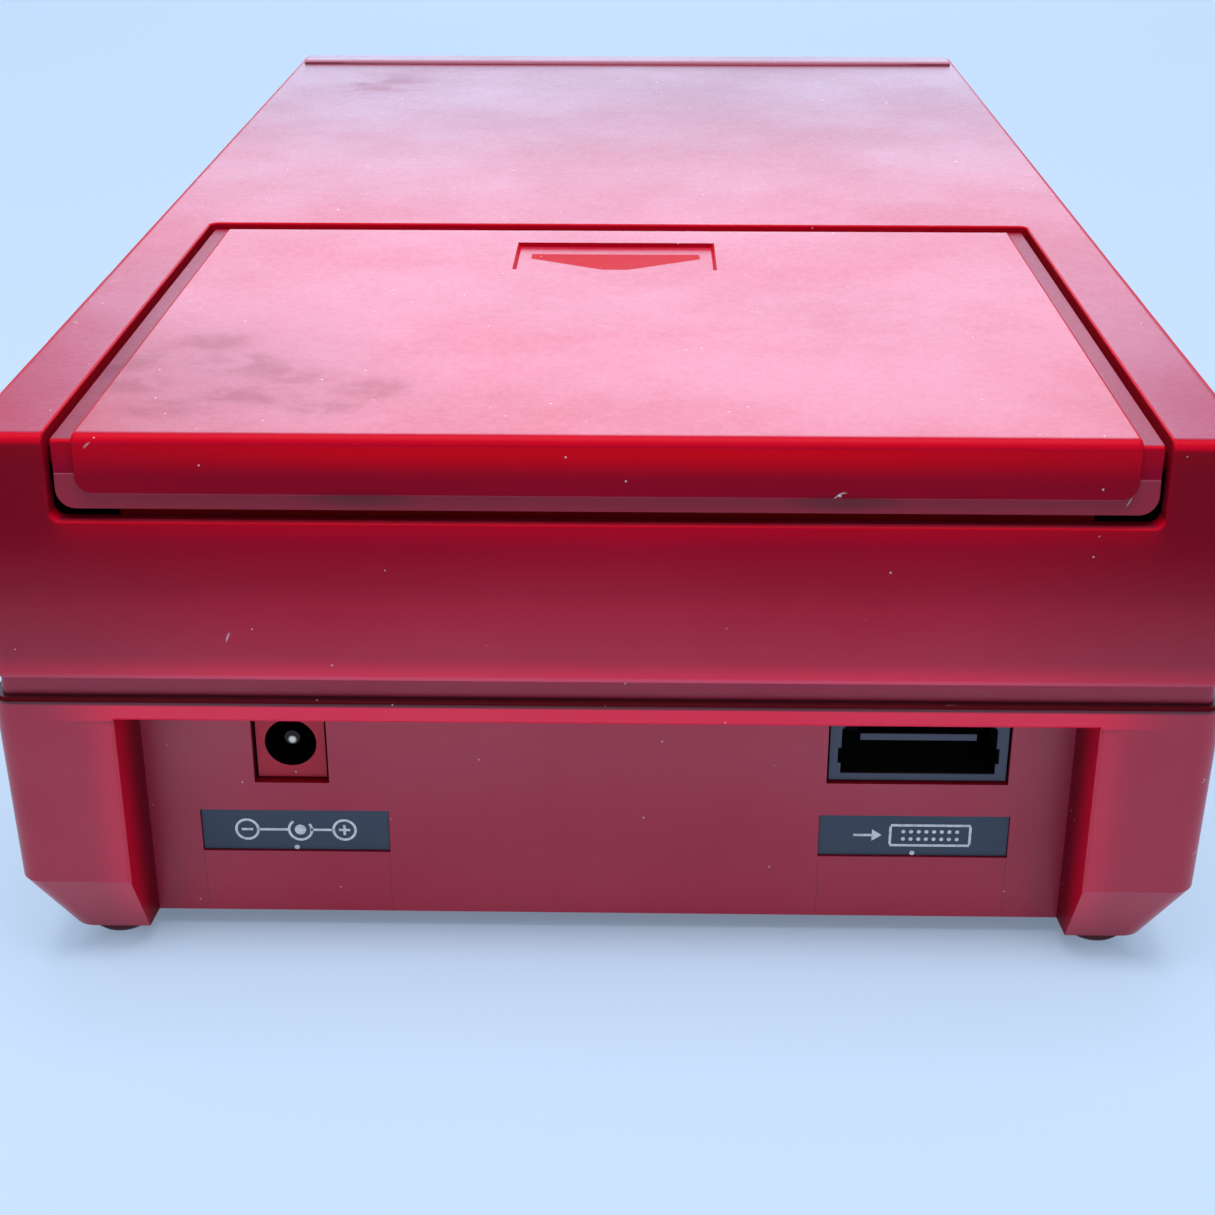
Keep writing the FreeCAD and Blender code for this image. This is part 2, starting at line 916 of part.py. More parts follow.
def floor_bosses():
    case = [post(x, y, foot_gap, case_boss_seam - screw_gap, case_boss_radius)
            for x, y in case_screw_places()]
    board = [post(x, y, floor_top - wall / 2, power_board_top - board_thick, board_boss_radius)
             for x, y in power_boss_places()]
    mount = [post(x, y, floor_top - wall / 2, deck_floor - grommet_height, mount_boss_radius)
             for x, y in mount_places()]
    return case + board + mount


def floor_holes():
    shank = case_screw_radius + screw_gap
    head = case_screw_head_radius + screw_gap
    seat = foot_gap + case_screw_sink + case_screw_head_height
    holes = [post(x, y, foot_gap - wall, case_boss_seam, shank) for x, y in case_screw_places()]
    holes += [post(x, y, foot_gap - wall, seat, head) for x, y in case_screw_places()]
    board_top = power_board_top - board_thick
    board_radius = board_screw_radius + thread_gap
    holes += [post(x, y, board_top - board_screw_bite, board_top, board_radius)
              for x, y in power_boss_places()]
    mount_top = deck_floor - grommet_height
    mount_radius = mount_screw_radius + thread_gap
    holes += [post(x, y, mount_top - mount_screw_bite - pilot_spare, mount_top, mount_radius)
              for x, y in mount_places()]
    holes += [post(x, y, foot_gap - wall, foot_gap + foot_seat, foot_radius + fit_gap)
              for x, y in foot_places()]
    return holes + vents() + [plate_recess()]


def vents():
    first = -(vent_count - 1) * vent_pitch / 2
    y0 = vent_centre - vent_length / 2
    half = vent_width / 2
    places = [first + n * vent_pitch for n in range(vent_count)]
    return [box(x - half, x + half, y0, y0 + vent_length, foot_gap - wall, floor_top + wall)
            for x in places]


def plate_recess():
    half_x = plate_recess_width / 2
    half_y = plate_recess_length / 2
    return box(-half_x, half_x, plate_recess_centre - half_y, plate_recess_centre + half_y,
               foot_gap - wall, foot_gap + plate_recess_depth)


# Door over the battery tray
def battery_door():
    flange = box(-flange_half, flange_half, flange_front, skirt_back, flange_bottom, flange_top)
    body = joined([flange, door_skirt(), door_panel(), door_tongue()] + door_runners())
    return body.cut(thumb_pocket()).cut(arrow_pocket())


def door_skirt():
    crease = skirt_bottom + skirt_crease_rise
    outline = [
        (skirt_back, skirt_bottom), (skirt_face + skirt_flare, skirt_bottom), (skirt_face, crease),
        (skirt_face, flange_top), (skirt_back, flange_top),
    ]
    skirt = prism_x(outline, -flange_half, flange_half)
    crown = picked(skirt, lambda b: near(b.ZMin, flange_top) and near(b.YMin, skirt_face))
    skirt = skirt.makeFillet(flange_edge_radius, crown)
    low = picked(skirt, lambda b: near(b.ZMax, skirt_bottom) and near(b.XMin, b.XMax))
    return skirt.makeFillet(skirt_corner_radius, low)


def door_panel():
    top = box(-panel_half, panel_half, panel_front, half_depth, flange_bottom, top_height)
    rear = box(-panel_half, panel_half, skirt_back, half_depth, panel_bottom, top_height)
    low = picked(rear, lambda b: near(b.ZMax, panel_bottom) and near(b.XMin, b.XMax))
    panel = top.fuse(rear.makeFillet(panel_corner_radius, low)).removeSplitter()
    crown = picked(panel, lambda b: near(b.ZMin, top_height) and near(b.YMin, half_depth))
    panel = panel.makeFillet(top_edge_radius, crown)
    sides = picked(panel, lambda b: near(b.ZMin, top_height) and near(b.ZMax, top_height)
                   and b.YMax < half_depth - top_edge_radius / 2)
    return panel.makeFillet(panel_edge_radius, sides)


def door_tongue():
    half = door_tongue_width / 2
    return box(-half, half, notch_front - door_tongue_reach, flange_front + door_tongue_overlap,
               flange_bottom - door_tongue_thick, flange_bottom)


def door_runners():
    front = flange_front + runner_end_margin
    rear = skirt_back - runner_end_margin
    outline = [
        (runner_inner, flange_bottom), (runner_inner, runner_bottom),
        (runner_outer + runner_foot, runner_bottom), (runner_outer + runner_foot, runner_top),
        (runner_outer, runner_top), (runner_outer, flange_bottom),
    ]
    return both_sides(prism_y(outline, front, rear))


def thumb_pocket():
    near_y = half_depth - thumb_setback
    half = thumb_width / 2
    floor_half = half - thumb_side_slope
    floor = top_height - thumb_depth
    outline = [
        (-floor_half, floor), (floor_half, floor), (half, top_height), (half, top_height + wall),
        (-half, top_height + wall), (-half, top_height),
    ]
    return prism_y(outline, near_y - thumb_length, near_y)


def arrow_pocket():
    tip = half_depth - thumb_setback - arrow_margin
    base = tip - arrow_length
    blunt = base + arrow_blunt_end
    half = arrow_width / 2
    plan = [(-half, base), (half, base), (half, blunt), (0, tip), (-half, blunt)]
    wedge = [(base, top_height - thumb_depth), (tip, top_height - arrow_depth), (tip, top_height + wall),
             (base, top_height + wall)]
    return prism_z(plan, flange_bottom, top_height + wall).common(prism_x(wedge, -half, half))


# Battery tray and its contacts
def battery_tray():
    outer = box(-tray_outer, tray_outer, tray_front - tray_wall, tray_rear + tray_wall,
                tray_bottom, tray_top)
    inner = box(-tray_half, tray_half, tray_front, tray_rear, tray_floor, tray_top + wall)
    shell = outer.cut(inner)
    dividers = [tray_divider(n) for n in range(1, row_count)]
    tray = joined([shell] + dividers + tray_ears())
    shank = tray_screw_radius + screw_gap
    return tray.cut(joined([post(x, y, ear_bottom, ear_top, shank) for x, y in tray_screw_places()]))


def tray_divider(n):
    y = tray_front + n * row_pitch
    half = divider_thick / 2
    reach = tray_half - contact_space
    return box(-reach, reach, y - half, y + half, tray_floor - tray_wall / 2,
               tray_floor + divider_height)


def tray_ears():
    half = tray_ear_length / 2
    ears = []
    for x, y in tray_screw_places():
        side = math.copysign(1, x)
        a = side * (tray_outer - tray_wall / 2)
        b = side * (tray_outer + tray_ear_reach)
        ears.append(box(min(a, b), max(a, b), y - half, y + half, ear_bottom, ear_top))
    return ears


def row_centre(n):
    return tray_front + (n + 0.5) * row_pitch


def battery_contact_plates():
    half_y = contact_width / 2
    half_z = contact_height / 2
    plates = []
    for n in range(row_count):
        y = row_centre(n)
        plate = box(tray_half - contact_thick, tray_half, y - half_y, y + half_y,
                    cell_axis - half_z, cell_axis + half_z)
        plates += both_sides(plate)
    return Part.Compound(plates)


def battery_springs():
    steps = int(spring_turns * 4)
    springs = []
    for n in range(row_count):
        side = 1 if n % 2 else -1
        base = tray_half - contact_thick - spring_wire_radius - thread_gap
        spring, path = cone_spring(side, base, row_centre(n), steps)
        springs.append(spring)
    print("battery spring gap", coil_gap(path, spring_wire_radius, 0.5 / spring_turns))
    return Part.Compound(springs)


def cone_spring(side, base, y, steps):
    total = 2 * math.pi * spring_turns
    shrink = (spring_small_radius - spring_big_radius) / total
    rise = (spring_length - 2 * spring_wire_radius) / total

    def place(step):
        turn = step * math.pi / 2
        radius = spring_big_radius + shrink * turn
        return V(side * (base - rise * turn), y + radius * math.cos(turn),
                 cell_axis + radius * math.sin(turn))

    def way(step):
        turn = step * math.pi / 2
        radius = spring_big_radius + shrink * turn
        along = V(-side * rise, shrink * math.cos(turn) - radius * math.sin(turn),
                  shrink * math.sin(turn) + radius * math.cos(turn))
        return along.normalize()

    return coil(place, way, spring_wire_radius, steps)


def tray_screws():
    screws = []
    for x, y in tray_screw_places():
        head = post(x, y, ear_bottom - tray_screw_head_height, ear_bottom, tray_screw_head_radius)
        shank = post(x, y, ear_bottom - thread_gap, ear_top + tray_screw_bite, tray_screw_radius)
        screws.append(joined([head, shank]))
    return Part.Compound(screws)


# Fixings and feet of the case
def case_screws():
    floor = foot_gap + case_screw_sink
    top = floor + case_screw_head_height
    screws = []
    for x, y in case_screw_places():
        head = post(x, y, floor, top, case_screw_head_radius)
        shank = post(x, y, top - thread_gap, case_boss_seam + case_screw_bite, case_screw_radius)
        screws.append(joined([head, shank]))
    return Part.Compound(screws)


def rubber_feet():
    return Part.Compound([post(x, y, 0, foot_gap + foot_seat, foot_radius) for x, y in foot_places()])


def dc_label_plate():
    return label_box(jack_x, dc_label_width, label_gap, label_thick)


def adapter_label_plate():
    return label_box(socket_x, adapter_label_width, label_gap, label_thick)


def shield_plate():
    half = shield_width / 2
    return box(-half, half, shield_front, shield_rear, floor_top, floor_top + shield_thick)


# Ports on the power board
def dc_jack_body():
    half = jack_opening / 2 - jack_body_gap
    floor = jack_z - jack_opening_drop + jack_body_gap
    face = panel_y - jack_setback
    top = floor + jack_opening - 2 * jack_body_gap
    nose = box(jack_x - half, jack_x + half, panel_inner_y - wall, face, floor, top)
    rear = box(jack_x - half, jack_x + half, face - jack_length, power_board_rear,
               power_board_top, top)
    bore = bar_y(jack_x, jack_z, face - jack_bore_depth, face + wall, jack_bore_radius)
    root = bar_y(jack_x, jack_z, face - jack_bore_depth - jack_pin_root, face, jack_pin_radius)
    return joined([nose, rear]).cut(bore).cut(root)


def dc_jack_pin():
    face = panel_y - jack_setback
    return bar_y(jack_x, jack_z, face - jack_bore_depth - jack_pin_root, face - jack_pin_setback,
                 jack_pin_radius)


def adapter_socket_shell():
    half = socket_width / 2 - socket_gap
    floor = socket_floor + socket_gap
    top = socket_floor + socket_height - socket_gap
    face = panel_y - socket_setback
    nose = box(socket_x - half, socket_x + half, panel_inner_y - wall, face, floor, top)
    rear = box(socket_x - half, socket_x + half, face - socket_length, power_board_rear,
               power_board_top, top)
    tongue = socket_tongue(face - socket_cavity_depth - socket_tongue_root, face, 0)
    return joined([nose, rear]).cut(socket_cavity(face)).cut(tongue)


def socket_cavity(face):
    half = socket_width / 2 - socket_gap - socket_side_rim
    floor = socket_floor + socket_gap + socket_rim
    top = socket_floor + socket_height - socket_gap - socket_rim
    outline = [
        (socket_x - half, floor), (socket_x + half, floor), (socket_x + half, top - socket_corner),
        (socket_x + half - socket_corner, top), (socket_x - half + socket_corner, top),
        (socket_x - half, top - socket_corner),
    ]
    keyed = half + socket_key_depth
    key_floor = floor + socket_key_rise
    back = face - socket_cavity_depth
    key = box(socket_x - keyed, socket_x + keyed, back, face + wall, key_floor,
              key_floor + socket_key_height)
    return prism_y(outline, back, face + wall).fuse(key)


def socket_tongue(y0, y1, setback):
    half = socket_tongue_width / 2
    floor = socket_floor + socket_gap + socket_rim + socket_tongue_rise
    return box(socket_x - half, socket_x + half, y0, y1 - setback, floor, floor + socket_tongue_thick)


def adapter_socket_tongue():
    face = panel_y - socket_setback
    return socket_tongue(face - socket_cavity_depth - socket_tongue_root, face, socket_tongue_setback)


def adapter_contacts():
    face = panel_y - socket_setback
    floor = socket_floor + socket_gap + socket_rim + socket_tongue_rise
    first = socket_x - (socket_contact_count - 1) * socket_contact_pitch / 2
    half = socket_contact_width / 2
    y1 = face - 2 * socket_tongue_setback
    strips = []
    for n in range(socket_contact_count):
        x = first + n * socket_contact_pitch
        strips.append(box(x - half, x + half, face - socket_cavity_depth, y1,
                          floor - socket_contact_thick, floor))
    return Part.Compound(strips)


def power_board():
    board = box(-power_board_half, power_board_half, power_board_front, power_board_rear,
                power_board_top - board_thick, power_board_top)
    radius = board_screw_radius + screw_gap
    holes = [post(x, y, power_board_top - board_thick, power_board_top, radius)
             for x, y in power_boss_places()]
    return board.cut(joined(holes))


def board_screw(x, y, board_top):
    head = post(x, y, board_top, board_top + board_screw_head_height, board_screw_head_radius)
    shank = post(x, y, board_top - board_thick - board_screw_bite, board_top + thread_gap,
                 board_screw_radius)
    return joined([head, shank])


def power_board_screws():
    return Part.Compound([board_screw(x, y, power_board_top) for x, y in power_boss_places()])


def drive_board_screws():
    return Part.Compound([board_screw(x, y, drive_board_top) for x, y in board_post_places()])


def power_capacitors():
    cans = []
    for n in range(capacitor_count):
        x = capacitor_x + n * capacitor_pitch
        can = post(x, capacitor_y, power_board_top, power_board_top + capacitor_height,
                   capacitor_radius)
        cans.append(can)
    return Part.Compound(cans)


def regulator():
    half = regulator_width / 2
    return box(regulator_x - half, regulator_x + half, regulator_y, regulator_y + regulator_thick,
               power_board_top, power_board_top + regulator_height)


def heat_sink():
    half = sink_width / 2
    face = regulator_y + regulator_thick
    back = box(regulator_x - half, regulator_x + half, face, face + sink_base, power_board_top,
               power_board_top + sink_height)
    spread = (sink_width - sink_fin_thick) / (sink_fin_count - 1)
    fins = []
    for n in range(sink_fin_count):
        x = regulator_x - half + n * spread
        fins.append(box(x, x + sink_fin_thick, face + sink_base / 2, face + sink_base + sink_fin_length,
                        power_board_top, power_board_top + sink_height))
    return joined([back] + fins)


# Front bezel and what sits in it
def front_bezel():
    half = bezel_half - bezel_gap
    plate = box(-half, half, bezel_face, bezel_back, bezel_floor + bezel_gap, bezel_top - bezel_gap)
    reach = bezel_half + bezel_flange
    flange = box(-reach, reach, wall_inside_front + bezel_gap, bezel_back, bezel_floor - bezel_flange,
                 bezel_top + bezel_flange)
    bezel = joined([plate, flange])
    bezel = bezel.makeFillet(split_edge_radius, picked(bezel, bezel_rim))
    return bezel.cut(joined(bezel_cuts()))


def bezel_rim(b):
    return near(b.YMin, bezel_face) and near(b.YMax, bezel_face)


def bezel_cuts():
    y0 = bezel_face - wall
    y1 = bezel_back + wall
    low = card_height - slot_height / 2
    slot = box(-slot_half, slot_half, y0, y1, low, low + slot_height)
    thumb = box(-thumb_half, thumb_half, y0, y1, low - thumb_drop, low + slot_height)
    corners = picked(thumb, lambda b: near(b.ZMax, low - thumb_drop) and near(b.XMin, b.XMax))
    thumb = thumb.makeFillet(thumb_drop / 2, corners)
    half_x = button_width / 2 + button_gap
    half_z = button_height / 2 + button_gap
    button = box(button_x - half_x, button_x + half_x, y0, y1, button_z - half_z, button_z + half_z)
    lamp = bar_y(lamp_x, button_z, y0, y1, lamp_radius + thread_gap)
    name_half = name_recess_width / 2
    name_low = name_recess_z - name_recess_height / 2
    name = box(-name_half, name_half, y0, bezel_face + name_recess_depth, name_low,
               name_low + name_recess_height)
    return [slot, thumb, button, lamp, name]


def power_lamp():
    lens = bar_y(lamp_x, button_z, bezel_face - lamp_rise, bezel_back, lamp_radius)
    lens = lens.makeFillet(lamp_rise, picked(lens, lambda b: near(b.YMax, bezel_face - lamp_rise)))
    flange = bar_y(lamp_x, button_z, bezel_back, bezel_back + lamp_flange_thick, lamp_flange_radius)
    tail = bar_y(lamp_x, button_z, bezel_back, bezel_back + lamp_flange_thick + lamp_tail, lamp_radius)
    return joined([lens, flange, tail])


def eject_button():
    half_x = button_width / 2
    half_z = button_height / 2
    face = bezel_face - button_rise
    cap = box(button_x - half_x, button_x + half_x, face, slide_front, button_z - half_z,
              button_z + half_z)
    return cap.makeFillet(button_edge_radius, picked(cap, lambda b: near(b.YMax, face)))


# Eject slide and card carrier
def slide_slot(y, x0, x1):
    radius = pin_radius + pin_slot_gap
    start = bar_x(y, card_height, x0, x1, radius)
    end = bar_x(y + eject_travel, card_height - carrier_drop, x0, x1, radius)
    run = math.hypot(eject_travel, carrier_drop)
    dy = radius * carrier_drop / run
    dz = radius * eject_travel / run
    band = [
        (y + dy, card_height + dz), (y + eject_travel + dy, card_height - carrier_drop + dz),
        (y + eject_travel - dy, card_height - carrier_drop - dz), (y - dy, card_height - dz),
    ]
    return joined([start, end, prism_x(band, x0, x1)])


def eject_slide():
    plate = box(slide_inner, slide_outer, slide_front, slide_rear, slide_floor, slide_top)
    plate = plate.cut(slide_slot(pin_front, slide_inner, slide_outer))
    plate = plate.cut(slide_slot(pin_rear, slide_inner, slide_outer))
    bridge = box(-slide_outer, slide_outer, slide_front, slide_front + bridge_length, bridge_floor,
                 bridge_floor + bridge_height)
    riser = box(slide_inner, slide_outer, slide_front, slide_front + 2 * bridge_length, bridge_floor,
                slide_floor + bridge_length)
    return joined([bridge] + both_sides(plate) + both_sides(riser))


def card_carrier():
    outer = box(-carrier_half, carrier_half, carrier_front, carrier_rear, carrier_floor, carrier_top)
    pocket = box(-pocket_half, pocket_half, carrier_front - wall, carrier_rear - carrier_wall,
                 pocket_floor, pocket_top)
    window = box(-window_half, window_half, window_front, window_rear, carrier_floor - wall,
                 carrier_top + wall)
    body = outer.cut(pocket).cut(window)
    reach = cheek_outer + slide_gap
    pins = [bar_x(y, card_height, carrier_half - carrier_wall / 2, reach, pin_radius)
            for y in (pin_front, pin_rear)]
    return joined([body] + both_sides(joined(pins[:1])) + both_sides(joined(pins[1:])))


def pad_arm():
    half = pad_arm_width / 2
    floor = carrier_top + pad_arm_rise
    arm = box(-half, half, pad_arm_front, pad_arm_rear, floor, floor + pad_arm_thick)
    root = box(-half, half, window_rear, pad_arm_rear, carrier_top, floor + pad_arm_thick)
    return joined([arm, root])


def felt_pad():
    y = carriage_front + head_setback
    return post(0, y, pocket_top + slide_gap, carrier_top + pad_arm_rise, pad_radius)


def lift_springs():
    steps = int(lift_spring_turns * 4)
    springs = [lift_spring(side, steps) for side in (-1, 1)]
    print("lift spring gap", coil_gap(springs[0][1], lift_spring_wire, 0.5 / lift_spring_turns))
    return Part.Compound([spring for spring, path in springs])


def lift_spring(side, steps):
    end = lift_spring_wire + lift_spring_end_gap
    rise = carrier_floor - deck_top - 2 * end
    per_step = rise / steps
    lean = rise / (2 * math.pi * lift_spring_turns)

    def place(step):
        turn = step * math.pi / 2
        return V(side * lift_spring_x + lift_spring_radius * math.cos(turn),
                 lift_spring_y + lift_spring_radius * math.sin(turn), deck_top + end + per_step * step)

    def way(step):
        turn = step * math.pi / 2
        along = V(-lift_spring_radius * math.sin(turn), lift_spring_radius * math.cos(turn), lean)
        return along.normalize()

    return coil(place, way, lift_spring_wire, steps)


# Drive chassis
def drive_chassis():
    deck = box(-deck_half, deck_half, deck_front, deck_rear, deck_floor, deck_top)
    cheek = box(cheek_inner, cheek_outer, cheek_front, cheek_rear, deck_floor, cheek_top)
    for y in (pin_front, pin_rear):
        cheek = cheek.cut(cheek_slot(y))
    lug_top = rod_z + lug_rise
    lugs = []
    for y in (rod_front, rod_rear - lug_thick):
        lugs += both_sides(box(lug_inner, lug_outer, y, y + lug_thick, deck_floor, lug_top))
    posts = [post(x, y, deck_floor, drive_board_floor, board_post_radius)
             for x, y in board_post_places()]
    body = joined([deck] + both_sides(cheek) + lugs + posts)
    return body.cut(joined(chassis_holes()))


def cheek_slot(y):
    radius = pin_radius + pin_slot_gap
    x0 = cheek_inner
    x1 = cheek_outer
    low = card_height - carrier_drop
    run = box(x0, x1, y - radius, y + radius, low, card_height)
    return joined([run, bar_x(y, low, x0, x1, radius), bar_x(y, card_height, x0, x1, radius)])


def chassis_holes():
    mount = mount_screw_radius + screw_gap
    holes = [post(x, y, deck_floor, deck_top, mount) for x, y in mount_places()]
    holes += [post(0, y, deck_floor, deck_top, bearing_radius) for y in (spindle_y, cam_y)]
    holes.append(post(motor_x, motor_y, deck_floor, deck_top, motor_shaft_window))
    motor_hole = motor_screw_radius + screw_gap
    holes += [post(x, y, deck_floor, deck_top, motor_hole) for x, y in motor_screw_places()]
    holes += [bar_y(side * rod_x, rod_z, rod_front, rod_rear, rod_radius) for side in (-1, 1)]
    pilot = board_screw_radius + thread_gap
    low = drive_board_floor - board_screw_bite
    holes += [post(x, y, low, drive_board_floor, pilot) for x, y in board_post_places()]
    return holes


def mount_grommets():
    hole = mount_screw_radius + screw_gap
    low = deck_floor - grommet_height
    rings = []
    for x, y in mount_places():
        rings.append(post(x, y, low, deck_floor, grommet_radius).cut(post(x, y, low, deck_floor, hole)))
    return Part.Compound(rings)


def mount_screws():
    low = deck_floor - grommet_height - mount_screw_bite
    screws = []
    for x, y in mount_places():
        head = post(x, y, deck_top, deck_top + mount_screw_head_height, mount_screw_head_radius)
        shank = post(x, y, low, deck_top + thread_gap, mount_screw_radius)
        screws.append(joined([head, shank]))
    return Part.Compound(screws)


# Spindle and motor
def bearing(y, shaft_radius):
    low = deck_floor - bearing_drop
    high = deck_top + bearing_rise
    return post(0, y, low, high, bearing_radius).cut(post(0, y, low, high, shaft_radius + running_gap))


def spindle_bearing():
    return bearing(spindle_y, spindle_radius)


def spindle_hub():
    hub_top = hub_floor + hub_thick
    shaft = post(0, spindle_y, spindle_foot, hub_top, spindle_radius)
    hub = post(0, spindle_y, hub_floor, hub_top, hub_radius)
    nose = post(0, spindle_y, hub_top - thread_gap, hub_top + nose_height, nose_radius)
    nose = nose.makeChamfer(nose_radius / 4, level_edges(nose, hub_top + nose_height))
    pin = post(drive_pin_offset, spindle_y, hub_top - thread_gap, hub_top + drive_pin_height,
               drive_pin_radius)
    return joined([shaft, hub, nose, pin])


def flywheel():
    blank = post(0, spindle_y, flywheel_floor, flywheel_top, flywheel_radius)
    hollow = post(0, spindle_y, flywheel_floor, flywheel_top - flywheel_web,
                  flywheel_radius - flywheel_rim)
    boss = post(0, spindle_y, flywheel_floor, flywheel_top, flywheel_boss)
    step = post(0, spindle_y, feed_floor, flywheel_top, feed_drive_radius)
    bore = post(0, spindle_y, feed_floor, flywheel_top, spindle_radius + thread_gap)
    return joined([blank.cut(hollow), boss, step]).cut(bore)


def drive_motor():
    can = post(motor_x, motor_y, deck_top, deck_top + motor_height, motor_radius)
    can = can.makeFillet(motor_edge_radius, level_edges(can, deck_top + motor_height))
    bore = post(motor_x, motor_y, deck_top, deck_top + wall, motor_shaft_radius + running_gap)
    threads = [post(x, y, deck_top, deck_top + motor_screw_bite, motor_screw_radius + thread_gap)
               for x, y in motor_screw_places()]
    return can.cut(joined([bore] + threads))


def motor_screw_places():
    return [(motor_x + side * motor_screw_offset, motor_y) for side in (-1, 1)]


def motor_screws():
    screws = []
    for x, y in motor_screw_places():
        head = post(x, y, deck_floor - motor_screw_radius, deck_floor, 2 * motor_screw_radius)
        shank = post(x, y, deck_floor - thread_gap, deck_top + motor_screw_bite, motor_screw_radius)
        screws.append(joined([head, shank]))
    return Part.Compound(screws)


def motor_pulley():
    low = flywheel_floor
    high = flywheel_top
    flange = motor_pulley_radius + motor_pulley_rim
    core = post(motor_x, motor_y, low, high, motor_pulley_radius)
    lower = post(motor_x, motor_y, low - motor_pulley_flange, low, flange)
    upper = post(motor_x, motor_y, high, high + motor_pulley_flange, flange)
    shaft = post(motor_x, motor_y, low, deck_top + wall - fit_gap, motor_shaft_radius)
    return joined([core, lower, upper, shaft])


def drive_belt():
    return belt(0, spindle_y, flywheel_radius, motor_x, motor_y, motor_pulley_radius,
                belt_floor, belt_height)


# Head feed
def cam_point(angle, radius, z):
    turn = math.radians(-90 - angle)
    return V(radius * math.cos(turn), cam_y + radius * math.sin(turn), z)


def cam_plate():
    z = cam_floor
    count = int(cam_sweep / cam_step)
    gain = head_travel / count
    track = [cam_point(n * cam_step, cam_small_radius + n * gain, z) for n in range(count + 1)]
    spiral = Part.BSplineCurve()
    spiral.interpolate(track)
    end = cam_sweep + cam_dwell
    crest = Part.Arc(track[-1], cam_point(cam_sweep + cam_dwell / 2, cam_large_radius, z),
                     cam_point(end, cam_large_radius, z))
    root = Part.Arc(cam_point(-cam_dwell, cam_small_radius, z),
                    cam_point(-cam_dwell / 2, cam_small_radius, z), track[0])
    back = Part.makeLine(cam_point(end, cam_large_radius, z), cam_point(-cam_dwell, cam_small_radius, z))
    outline = Part.Wire([spiral.toShape(), crest.toShape(), back, root.toShape()])
    return Part.Face(outline).extrude(V(0, 0, cam_thick))


def feed_cam():
    shaft = post(0, cam_y, feed_floor, cam_floor + cam_thick, cam_shaft_radius)
    return joined([cam_plate(), shaft])


def cam_bearing():
    low = deck_floor - bearing_drop
    high = cam_floor - slide_gap
    bore = post(0, cam_y, low, high, cam_shaft_radius + running_gap)
    return post(0, cam_y, low, high, bearing_radius).cut(bore)


def feed_pulley():
    top = feed_floor + feed_height
    disc = post(0, cam_y, feed_floor, top, feed_pulley_radius)
    return disc.cut(post(0, cam_y, feed_floor, top, cam_shaft_radius + thread_gap))


def feed_belt():
    low = feed_floor + (feed_height - feed_belt_height) / 2
    return belt(0, cam_y, feed_pulley_radius, 0, spindle_y, feed_drive_radius, low, feed_belt_height)


def guide_rods():
    return Part.Compound([bar_y(side * rod_x, rod_z, rod_front, rod_rear, rod_radius)
                          for side in (-1, 1)])


def head_carriage():
    rear = carriage_front + carriage_length
    block = box(-carriage_half, carriage_half, carriage_front, rear, carriage_floor, carriage_top)
    low = cam_floor + slide_gap
    pin = post(0, follower_y, low, carriage_floor + wall, follower_radius)
    bores = [bar_y(side * rod_x, rod_z, carriage_front, rear, rod_radius + running_gap)
             for side in (-1, 1)]
    return joined([block, pin]).cut(joined(bores))


def read_head():
    y = carriage_front + head_setback
    half = head_size / 2
    head = box(-half, half, y - half, y + half, carriage_top, carriage_top + head_height)
    return head.makeFillet(head_size / 6, level_edges(head, carriage_top + head_height))


# Drive board and wiring
def drive_board():
    board = box(-drive_board_half, drive_board_half, drive_board_front, drive_board_rear,
                drive_board_floor, drive_board_top)
    tabs = []
    for x, y in board_post_places():
        tabs.append(box(x - board_tab / 2, x + board_tab / 2, y - board_tab / 2, y + board_tab / 2,
                        drive_board_floor, drive_board_top))
    radius = board_screw_radius + screw_gap
    holes = [post(x, y, drive_board_floor, drive_board_top, radius) for x, y in board_post_places()]
    return joined([board] + tabs).cut(joined(holes))


def drive_board_chips():
    half = chip_length / 2
    chips = []
    for n in range(chip_count):
        y = chip_front + n * chip_pitch
        chips.append(box(-half, half, y, y + chip_width, drive_board_top, drive_board_top + chip_height))
    return Part.Compound(chips)


def board_connectors():
    drive = box(-connector_half, connector_half, drive_board_rear - connector_length, drive_board_rear,
                drive_board_top, drive_board_top + connector_height)
    power = box(-connector_half, connector_half, power_board_front,
                power_board_front + connector_length, power_board_top,
                power_board_top + connector_height)
    return Part.Compound([drive, power])


def ribbon_cable():
    start_z = drive_board_top + connector_height / 2
    end_z = power_board_top + connector_height / 2
    side_y = power_board_front - ribbon_bend * 2
    route = [V(0, drive_board_rear, start_z), V(0, ribbon_y, start_z), V(0, ribbon_y, ribbon_z),
             V(0, side_y, ribbon_z), V(0, side_y, end_z), V(0, power_board_front, end_z)]
    path = bent_path(route, ribbon_bend)
    half = ribbon_thick / 2
    y0 = drive_board_rear
    profile = Part.makePolygon([V(-ribbon_half, y0, start_z - half), V(ribbon_half, y0, start_z - half),
                                V(ribbon_half, y0, start_z + half), V(-ribbon_half, y0, start_z + half),
                                V(-ribbon_half, y0, start_z - half)])
    return path.makePipeShell([profile], True, False)


def battery_leads():
    low = power_board_top
    front = power_boss_front_y + 2 * lead_bend
    root = tray_front - tray_wall - 2 * lead_radius
    leads = []
    for side in (-1, 1):
        x = side * lead_x
        route = [V(x, root, cell_axis), V(x, root, lead_z), V(x, front, lead_z), V(x, front, low)]
        path = bent_path(route, lead_bend)
        profile = Part.Wire(Part.makeCircle(lead_radius, route[0], V(0, 0, -1)))
        leads.append(path.makePipeShell([profile], True, False))
    return Part.Compound(leads)


def card_switches():
    half = switch_width / 2
    block = box(switch_x - half, switch_x + half, switch_front, switch_front + switch_length,
                deck_top, deck_top + switch_height)
    return Part.Compound(both_sides(block))


